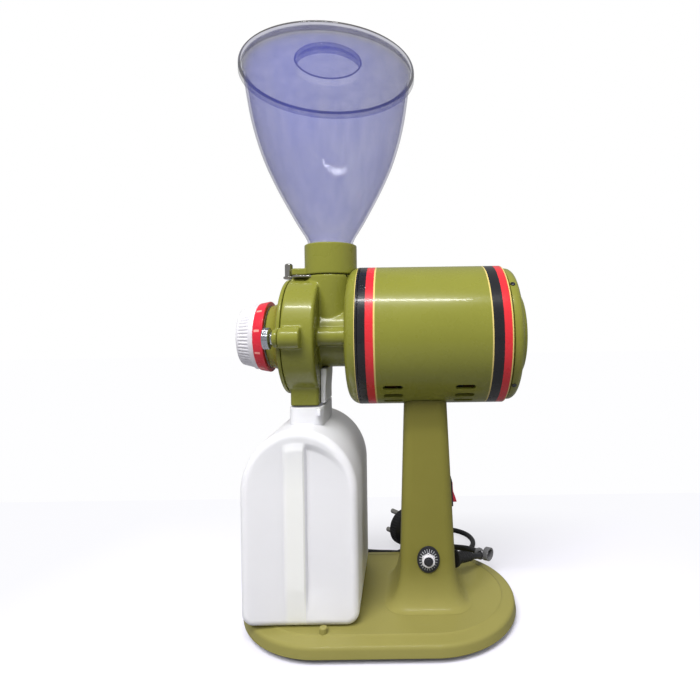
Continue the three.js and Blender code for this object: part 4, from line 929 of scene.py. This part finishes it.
def lugs(radius, front, back, edges):
    """Both lugs: a round boss, and a web from it into the casting."""
    boss_edge, web_corner, web_edge = edges
    return [
        *pair(lug.out, lambda y: beside(y, radius, front, back, 64, boss_edge)),
        *pair(lug.out, lambda y: block(
            (front, y - (y > 0) * lug.web, axis_height - radius),
            (back, y + (y < 0) * lug.web, axis_height + radius), web_corner, web_edge,
        )),
    ]


def make_chamber():
    body = cast(
        "chamber_casting", drum.grain, 6,
        rod("x", head, drum.radius, drum.front, drum.back, 192, drum.cuts),
        rod("x", head, drum.waist, drum.floor, drum.joint),
        rod("z", (throat.x, 0, 0), throat.radius, axis_height, throat.top),
        slab(chute), slab(under_ear),
        *pair(drum.strut, lambda y: beside(y, drum.strut_radius, drum.floor, drum.joint, 96)),
        *lugs(lug.radius, drum.front, lug.back, lug.edges),
    )
    tools = [
        rod("x", head, drum.bore, drum.front - overrun, drum.floor, 160),
        rod("x", head, drum.feed_bore, drum.floor - overrun, drum.feed_end),
        rod("x", head, drum.shaft_bore, drum.floor, drum.shaft_end),
        rod("z", (throat.x, 0, 0), throat.bore, axis_height, throat.top + overrun),
        slab(chute_bore), slab(channel),
        *pair(lug.out, lambda y: beside(y, lug.hole, drum.front - overrun, lug.hole_end, 32)),
    ]
    dress(combined(body, tools, sharp=50), "grinder_body")

    low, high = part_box("chute_guard")
    edge, leaf = high.x - guard.lip, low.x + guard.leaf
    outline = softened([
        (low.x, high.z), (edge, high.z), (edge, high.z - guard.lip_drop),
        (leaf, low.z + (high.z - low.z) * guard_bend_share), (leaf, low.z), (low.x, low.z),
    ], guard.cuts)
    dress(bevelled(solid("chute_guard_moulding", prism(outline, low.y, high.y)), guard.edge), "chute_guard")


def make_cover():
    reach, depth = bell.radius - bell.tip, bell.back - bell.front
    curve = [(bell.tip + reach * wide, bell.back - depth * deep) for wide, deep in bell_shares]
    rim = softened([(bell.rim, bell.back), (bell.radius, bell.back), curve[0]], [bell.rim_cut])
    tip = [curve[-1], (bell.tip, bell.step), (bell.tip, bell.front), (0, bell.front)]
    outer = np.vstack([[(0, bell.back)], rim, smooth_route(curve)[1:], tip])
    body = cast(
        "cover_casting", bell.grain, 4, lathe("x", head, outer, 192),
        *lugs(lug.ear, lug.ear_front, bell.back, lug.ear_edges),
    )
    tools = [
        lathe("x", head, bell.inside, 160),
        *pair(lug.out, lambda y: beside(y, lug.hole, bell.front, lug.ear_hole_end, 32)),
        *pair(lug.out, lambda y: beside(y, lug.room, bell.front, lug.ear_front, 64)),
    ]
    dress(combined(body, tools, sharp=50), "front_cover")

    profile = dense(softened(thumb.corners, thumb.cuts), thumb.segment)
    for where, side in (("near", -1), ("far", 1)):
        shape = lathe("x", head + (0, side * lug.out, 0), profile, 240, 16, thumb.ridge, thumb.knurl)
        dress(solid("thumb_screw_" + where, shape, sharp=50), "cover_screw_" + where)


def make_dial():
    profile = dense(softened(dial.corners, dial.cuts), dial.segment)
    cup = lathe("x", head, profile, 432, 54, dial.ridge, dial.knurl)
    dress(solid("dial_cup", cup, sharp=55), "adjusting_dial")
    ring = ring_section(band.seat + gap, band.radii, band.places, band.cut)
    dress(solid("dial_band", lathe("x", head, ring, 192)), "dial_ring")


# Feed gate, neck, hopper and lid

def make_feed():
    low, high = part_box("feed_gate")
    blade = solid("gate_blade", block((gate.shoulder, low.y, low.z), high, gate.corner, gate.edge))
    handle = block(
        (low.x, -gate.half, low.z), (gate.handle_end, gate.half, high.z), gate.handle_corner, gate.edge,
    )
    dress(combined(blade, [handle], "UNION"), "feed_gate")
    knob = rod("z", (gate_pin.x, 0, 0), gate_pin.radius, gate_pin.low, gate_pin.high, 48, gate_pin.cuts)
    dress(solid("gate_knob", knob), "feed_gate_pin")

    middle = (throat.x, 0, 0)
    body = cast(
        "neck_casting", neck.grain, 4,
        rod("z", middle, neck.radius, neck.low, neck.high, 128, neck.edge), slab(neck_ear),
    )
    clear_end = [(motor.radius + gap, neck.clear_end), (0, neck.clear_end)]
    clear = np.vstack([[(0, motor.front - gap)], flange_round(gap), clear_end])
    tools = [
        rod("z", middle, neck.bore, neck.low - overrun, neck.high),
        rod("z", middle, neck.socket, neck.ledge, neck.high + overrun),
        lathe("x", head, clear, 160),
    ]
    dress(combined(body, tools, sharp=50), "neck_collar")


def make_hopper():
    outline = [
        (hopper.stem + (hopper.rim - hopper.stem) * wide, hopper.low + hopper.rise * high)
        for high, wide in hopper_shares
    ]
    outer = np.vstack([[(hopper.stem, hopper.foot)], smooth_route(outline, 10)])
    inner = outer[::-1] - (hopper.wall, 0)
    lip = (0, hopper.lip)
    profile = np.vstack([outer, outer[-1:] + lip, inner[:1] + lip, inner, outer[:1]])
    dress(solid("hopper_cone", lathe("z", (throat.x, 0, 0), profile, 192)), "hopper")

    inside, knob_inside = lid.radius - lid.wall, lid.knob - lid.wall
    profile = softened([
        (0, lid.top - lid.wall), (knob_inside, lid.top - lid.wall), (knob_inside, lid.knob_foot - lid.wall),
        (lid.crown, lid.crown_under), (inside, lid.under), (inside, lid.low), (lid.radius, lid.low),
        (lid.radius, lid.shoulder), (lid.crown, lid.crown_over), (lid.knob, lid.knob_foot),
        (lid.knob, lid.top), (0, lid.top),
    ], lid.cuts)
    dress(solid("hopper_cover", lathe("z", (throat.x, 0, 0), profile, 192)), "hopper_lid", finish=lid_plastic)


# Powder bin: an arch drawn out along Y, with raised panels moulded into its two flat faces

def arch_height(x, inset=0.0):
    """Top of the arch above the bin's foot: straight side, then a half ellipse."""
    half = bin_box.half - inset
    return bin_box.straight + (bin_box.rise - inset) * np.sqrt(np.clip(1 - (x / half) ** 2, 0, 1))


def foot_height(x, inset):
    """Underside of the bin: flat, with a quarter circle at each side."""
    curve = bin_box.foot - inset
    over = np.clip(abs(x) - (bin_box.half - bin_box.foot), 0, curve)
    return inset + curve - np.sqrt(np.clip(curve ** 2 - over ** 2, 0, None))


def edge_distance(x, z):
    """How far a place on the flat face lies inside the face's outline."""
    rise = np.clip(z - bin_box.straight, 0, None)
    share = np.hypot(x / bin_box.half, rise / bin_box.rise)
    arch = np.hypot(x, rise) * (1 / np.maximum(share, tiny) - 1)
    corner_x = np.clip(abs(x) - (bin_box.half - bin_box.foot), 0, None)
    corner_z = np.clip(bin_box.foot - z, 0, None)
    curve = bin_box.foot - np.hypot(corner_x, corner_z)
    return np.maximum(np.minimum(arch, np.where(z < bin_box.foot, curve, arch)), 0)


def relief_height(x, z):
    """Moulded relief, outward: a rib left of the middle, a step down right of it that fades away."""
    across = x + bin_box.x
    top = ramp(arch_height(x) - z - bin_relief.top, bin_relief.top_fade)
    low = ramp(z - bin_relief.low, bin_relief.low_fade)
    left = ramp(across - bin_relief.left, bin_relief.left_fade)
    rib = bin_relief.rise * left * ramp(bin_relief.right - across, bin_relief.right_fade)
    step = ramp(across - bin_relief.right, bin_relief.sunk_step)
    sunk = bin_relief.sunk * step * ramp(bin_relief.sunk_end - across, bin_relief.sunk_fade)
    return (rib - sunk) * top * low


def bin_skin(inset):
    """Closed skin of the arch: each flat face is y = side (half depth - rounding + relief) over a
    grid of x across and z from foot to arch, closer together near the outline, and a band of
    straight quads joins the two faces."""
    columns, rows = bin_grid
    half = bin_box.half - inset
    s = np.linspace(-1, 1, columns)
    across = half * np.sign(s) * (1 - (1 - abs(s)) ** 1.5)
    u = np.linspace(0, 1, rows)
    share = u - 0.12 * np.sin(2 * np.pi * u)
    x = np.repeat(across[:, None], rows, axis=1)
    low, high = foot_height(x, inset), arch_height(x, inset)
    z = low + share[None, :] * (high - low)
    scale = (bin_box.half / half, bin_box.rise / (bin_box.rise - inset))
    near_edge = np.minimum(edge_distance(x * scale[0], z), bin_box.edge)
    drop = bin_box.edge - np.sqrt(bin_box.edge ** 2 - (bin_box.edge - near_edge) ** 2)
    out = bin_box.half_y - inset - drop + relief_height(x, z)
    faces = grid_faces(columns, rows, wrap=False)
    sides = [
        (np.stack([x + bin_box.x, side * out, z + bin_box.low], axis=-1).reshape(-1, 3), faces)
        for side in (-1, 1)
    ]
    index = np.arange(columns * rows).reshape(columns, rows)
    rim = np.concatenate([index[:, 0], index[-1, 1:], index[-2::-1, -1], index[0, -2:0:-1]])
    return merged([*sides, skin([sides[0][0][rim], sides[1][0][rim]], caps=False)])


def make_bin():
    top = np.array([bin_box.x + bin_box.collar_x, -bin_box.collar_half_y, bin_box.low + bin_box.top])

    def collar(inset, over):
        half_x, half_y = bin_box.collar_half - inset, bin_box.collar_half_y - inset
        return block(
            (top[0] - half_x, -half_y, bin_box.low + bin_box.straight),
            (top[0] + half_x, half_y, top[2] + over),
            bin_box.collar_round - inset, bin_box.collar_edge,
        )

    catch = block(top + bin_catch.low, top + bin_catch.high, bin_catch.corner, bin_catch.edge)
    body = combined(solid("powder_box", bin_skin(0), sharp=40), [collar(0, 0), catch], "UNION", sharp=40)
    hollow = [bin_skin(bin_box.wall), collar(bin_box.wall, overrun)]
    dress(combined(body, hollow, sharp=40), "powder_bin")


# Column, base and feet

def column_level(height, inset=0.0, spread=0.0):
    """Half length, half depth and corner of the column at a height, spread being its foot's share."""
    share = (height - base.high) / column.run
    half_x, half_y = (column.shank + (column.crown - column.shank) * share) / 2 - inset
    grow_x, grow_y = (column.foot - column.shank) * spread / 2
    corner = column.corner - inset * inner_corner_share + column.foot_corner * spread
    return height, half_x + grow_x, half_y + grow_y, corner


def make_column():
    t = np.linspace(0, np.pi / 2, 18)
    climb = column.flare * flare_share - column.lip
    flare = [
        (column.foot_low + column.lip + climb * (1 - math.cos(a)), foot_spread * (1 - math.sin(a))) for a in t
    ]
    levels = [column_level(column.foot_low, 0, foot_spread)]
    levels += [column_level(height, 0, spread) for height, spread in flare]
    levels += [column_level(height) for height in np.linspace(flare[-1][0], column.high, 30)[1:]]
    hollow = [column_level(height, column.wall) for height in (column.low - overrun, column.ceiling)]
    out = directions(*relief_angles)
    middle = (breaker.x, 0, breaker.z)
    tools = [
        rod("x", head, motor.radius + gap, motor.front, column.seat_end, 240),
        tower(column.x, 0, hollow),
        rod("y", middle, breaker.hole, breaker.deep, 0, 48),
        rod("y", middle, breaker.recess, breaker.deep, breaker.plate[0] + gap, 96),
        rocker_block(*rocker.pocket),
        moved(rod("x", (0, 0, 0), relief.socket, -gap, relief.length, 48), relief.place, out),
        moved(rod("x", (0, 0, 0), relief.passage, -relief.length, relief.length, 32), relief.place, out),
    ]
    body = solid("column_casting", tower(column.x, 0, levels, 12), sharp=50)
    dress(combined(body, tools, sharp=50), "column", finish=column_paint)


def make_base():
    def ring(inset, height):
        outline = rounded_rectangle(base.half - inset, base.half_y - inset, base.half_y - inset, 40)
        return np.column_stack([outline + (base.x, 0), np.full(len(outline), height)])

    side = softened(base.side, base.cuts, steps=12)
    rings = [ring(base.wall, base.ceiling), *(ring(inset, height) for inset, height in side)]
    pegs = pair(peg.y, lambda y: rod("z", (peg.x, y, 0), peg.radius, peg.low, peg.high, 48, peg.edge))
    places = [(column.x + side * base.bolt_x, y, 0) for side in (-1, 1) for y in (-base.bolt_y, base.bolt_y)]
    holes = [rod("z", middle, base.bolt_hole, 0, base.hole_top, 32) for middle in places]
    holes.append(rod("z", (column.x, 0, 0), base.cable_hole, 0, base.hole_top, 64))
    body = combined(solid("base_casting", skin(rings)), pegs, "UNION")
    dress(combined(body, holes), "base")

    for k in range(1, 5):
        low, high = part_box(f"foot_{k}")
        middle = ((low.x + high.x) / 2, (low.y + high.y) / 2, 0)
        profile = softened([*foot.corners, (foot.top, high.z), (0, high.z)], foot.cuts)
        dress(solid(f"rubber_foot_{k}", lathe("z", middle, profile, 64)), f"foot_{k}")


# Breaker and rocker switch

def make_breaker():
    middle = (breaker.x, 0, breaker.z)
    plate = ring_section(breaker.hole, breaker.radius, breaker.plate, breaker.plate_cuts)
    oval = moved(lathe("y", (0, 0, 0), plate, 128), middle, stretch=breaker_stretch)
    dress(solid("breaker_face", oval), "breaker_plate", finish=breaker_paint)

    low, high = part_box("breaker_nut")
    nut = [
        (breaker.hole, high.y), (breaker.flats, high.y), (breaker.flats, low.y),
        (breaker.hole + breaker.chamfer, low.y), (breaker.hole, low.y + breaker.chamfer),
        (breaker.hole, high.y),
    ]
    ends = (low.y - gap, low.y - gap - breaker.bush_length)
    bush = ring_section(breaker.bush, breaker.bush_radii, ends, breaker.bush_cuts)
    hexagon = bevelled(solid("breaker_hexagon", lathe("y", middle, nut, 6)), breaker.nut_edge)
    hexagon = combined(hexagon, [lathe("y", middle, bush, 64)], "UNION")
    dress(hexagon, "breaker_nut", finish=finishes["satin_alloy"])

    low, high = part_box("reset_button")
    knob = rod("y", middle, breaker.button, low.y, high.y, 64, breaker.button_cuts)
    dress(solid("reset_knob", knob), "reset_button")


def rocker_block(start, end, half_y, half_z, corner, edge):
    """Box about the rocker's own axis, which leans with the column's rear face."""
    shell = block((start, -half_y, -half_z), (end, half_y, half_z), corner, edge)
    return moved(shell, rocker.place, directions(0, rocker_lean))


def make_rocker():
    housing = solid("rocker_frame", rocker_block(*rocker.sleeve))
    housing = combined(housing, [rocker_block(*rocker.flange)], "UNION")
    dress(combined(housing, [rocker_block(*rocker.opening)]), "rocker_housing")
    outline = softened(rocker.cap, rocker.cap_cuts)[:-1]
    cap = moved(prism(outline, -rocker.cap_half, rocker.cap_half), rocker.place, directions(0, rocker_lean))
    dress(bevelled(solid("rocker_cap", cap), rocker.cap_edge), "power_rocker")


# Pieces on the cord

def ribbed(start, end, first, last):
    """Tapering profile with round grooves: radius = taper - depth (0.5 + 0.5 cos(2 pi n u))^4."""
    u = np.linspace(0, 1, rib_count * 12 + 1)
    wave = (0.5 + 0.5 * np.cos(2 * np.pi * rib_count * u)) ** 4 * (u > 0.04) * (u < 0.97)
    return np.stack([first + (last - first) * u - rib_groove * wave, start + (end - start) * u], axis=1)


def make_cord_fittings():
    boot = np.vstack([softened(relief.corners, relief.cuts), ribbed(*relief.taper), [(0, relief.length)]])
    boot = moved(lathe("x", (0, 0, 0), boot, 64), relief.place, directions(*relief_angles))
    dress(solid("cord_boot", boot, sharp=50), "strain_relief")

    turn = directions(*plug_angles)
    body = dense(softened(plug.corners, plug.cuts), plug.segment)
    body = moved(lathe("x", (0, 0, 0), body, 240, 40, plug.ridge, plug.knurl), plug.place, turn)
    start, end = plug.taper[:2]
    sleeve = np.vstack([[(0, start)], ribbed(*plug.taper), [(0, end)]])
    sleeve = moved(lathe("y", (0, 0, 0), sleeve, 64), plug.place, turn)
    on_cord = [dress(combined(solid("mains_plug", body, sharp=50), [sleeve], "UNION", sharp=50), "plug_body")]
    for where, side in (("upper", 1), ("lower", -1)):
        bar = rod("x", (0, 0, side * pin.out), pin.radius, pin.start, pin.end, 48, pin.cuts)
        on_cord.append(dress(solid("mains_pin_" + where, moved(bar, plug.place, turn)), "plug_pin_" + where))

    slope = directions(0, roll=tie_slope)
    strap, bow = (
        lathe("y", (0, 0, 0), ring_section(piece.bore, piece.radius, piece.ends, piece.cut), 64)
        for piece in (tie, loop)
    )
    bow = moved(bow, turn=directions(*loop_angles), stretch=loop_stretch)
    bow = moved(bow, tie.place + loop.aside, slope)
    made = combined(solid("strap_tie", moved(strap, tie.place, slope)), [bow], "UNION")
    return [dress(made, "cord_tie"), *on_cord]


make_motor()
make_chamber()
make_cover()
make_dial()
make_feed()
make_hopper()
make_bin()
make_column()
make_base()
make_breaker()
make_rocker()
make_cord(make_cord_fittings())


# Floor, world and lamps

table_half = 3.0
back_line = 0.24
shadow_reach = 0.1
room_light = 0.3
sky_seen = 1.0
lamps = {
    "ceiling_strip": ((-0.08, -0.62, 1.25), (0, 0, 0.22), (0.64, 0.05), 6.2, True),
    "soft_key": ((-0.45, -0.95, 1.35), (0, 0, 0.2), (1.0, 0.8), 29, False),
    "side_fill": ((1.3, -0.35, 0.7), (0, 0, 0.15), (0.8, 0.8), 5, False),
    "back_fill": ((-0.2, 1.3, 0.9), (0, 0, 0.2), (0.8, 0.8), 7, False),
}


def table_white(name):
    """White floor that glows where the camera sees it, except near the object, where its shadow
    shows. Beyond the back line it is all glow."""
    made = Finish(name, Roughness=0.6, Specular_IOR_Level=0.2)
    across, back = made.along("x"), made.along("y")
    far = back > back_line
    rays = made.seen()
    made.set({"Base Color": made.mix(rays, tint(130, 130, 134), tint(231, 229, 240))})
    colour = made.mix(far, tint(251, 251, 254), tint(254, 254, 255))
    glow = made.node("ShaderNodeEmission", {}, {"Color": colour, "Strength": 1.0})
    lit = Value(made, made.shader.outputs[0])
    away = (across * across + back * back) ** 0.5
    share = ((away - shadow_reach) * 4).most(back * 4 + 0.2).most(0.03).least(0.96).most(far)
    both = made.node("ShaderNodeMixShader", {}, {0: rays * share, 1: lit, 2: glow})
    made.feed(made.nodes["Material Output"].inputs["Surface"], both)
    return made


def make_stage():
    mesh = bpy.data.meshes.new("table")
    corners = [(x * table_half, y * table_half, 0) for x, y in ((-1, -1), (1, -1), (1, 1), (-1, 1))]
    mesh.from_pydata(corners, [], [(0, 1, 2, 3)])
    mesh.materials.append(table_white("white_table").material)
    in_scene(mesh, "table")

    world = bpy.data.worlds.new("studio")
    bpy.context.scene.world = world
    world.use_nodes = True
    sky = Nodes(world.node_tree)
    background = sky.nodes["Background"]
    sky.feed(background.inputs["Color"], (1, 1, 1, 1))
    sky.feed(background.inputs["Strength"], sky.seen() * (sky_seen - room_light) + room_light)


def make_lamp(name, spot, target, size, watts, mirrored):
    """Rectangular lamp that faces its target; polished pieces show it only if it is mirrored."""
    data = bpy.data.lights.new(name, "AREA")
    data.shape = "RECTANGLE"
    data.size, data.size_y = size
    data.energy = watts
    lamp = in_scene(data, name)
    aim = np.array(target) - np.array(spot)
    lamp.location = spot
    lamp.visible_glossy = mirrored
    lamp.rotation_euler = (math.atan2(math.hypot(aim[0], aim[1]), -aim[2]), 0, math.atan2(-aim[0], aim[1]))


make_stage()
for lamp_name, lamp_values in lamps.items():
    make_lamp(lamp_name, *lamp_values)
bpy.context.scene.view_settings.view_transform = "Standard"
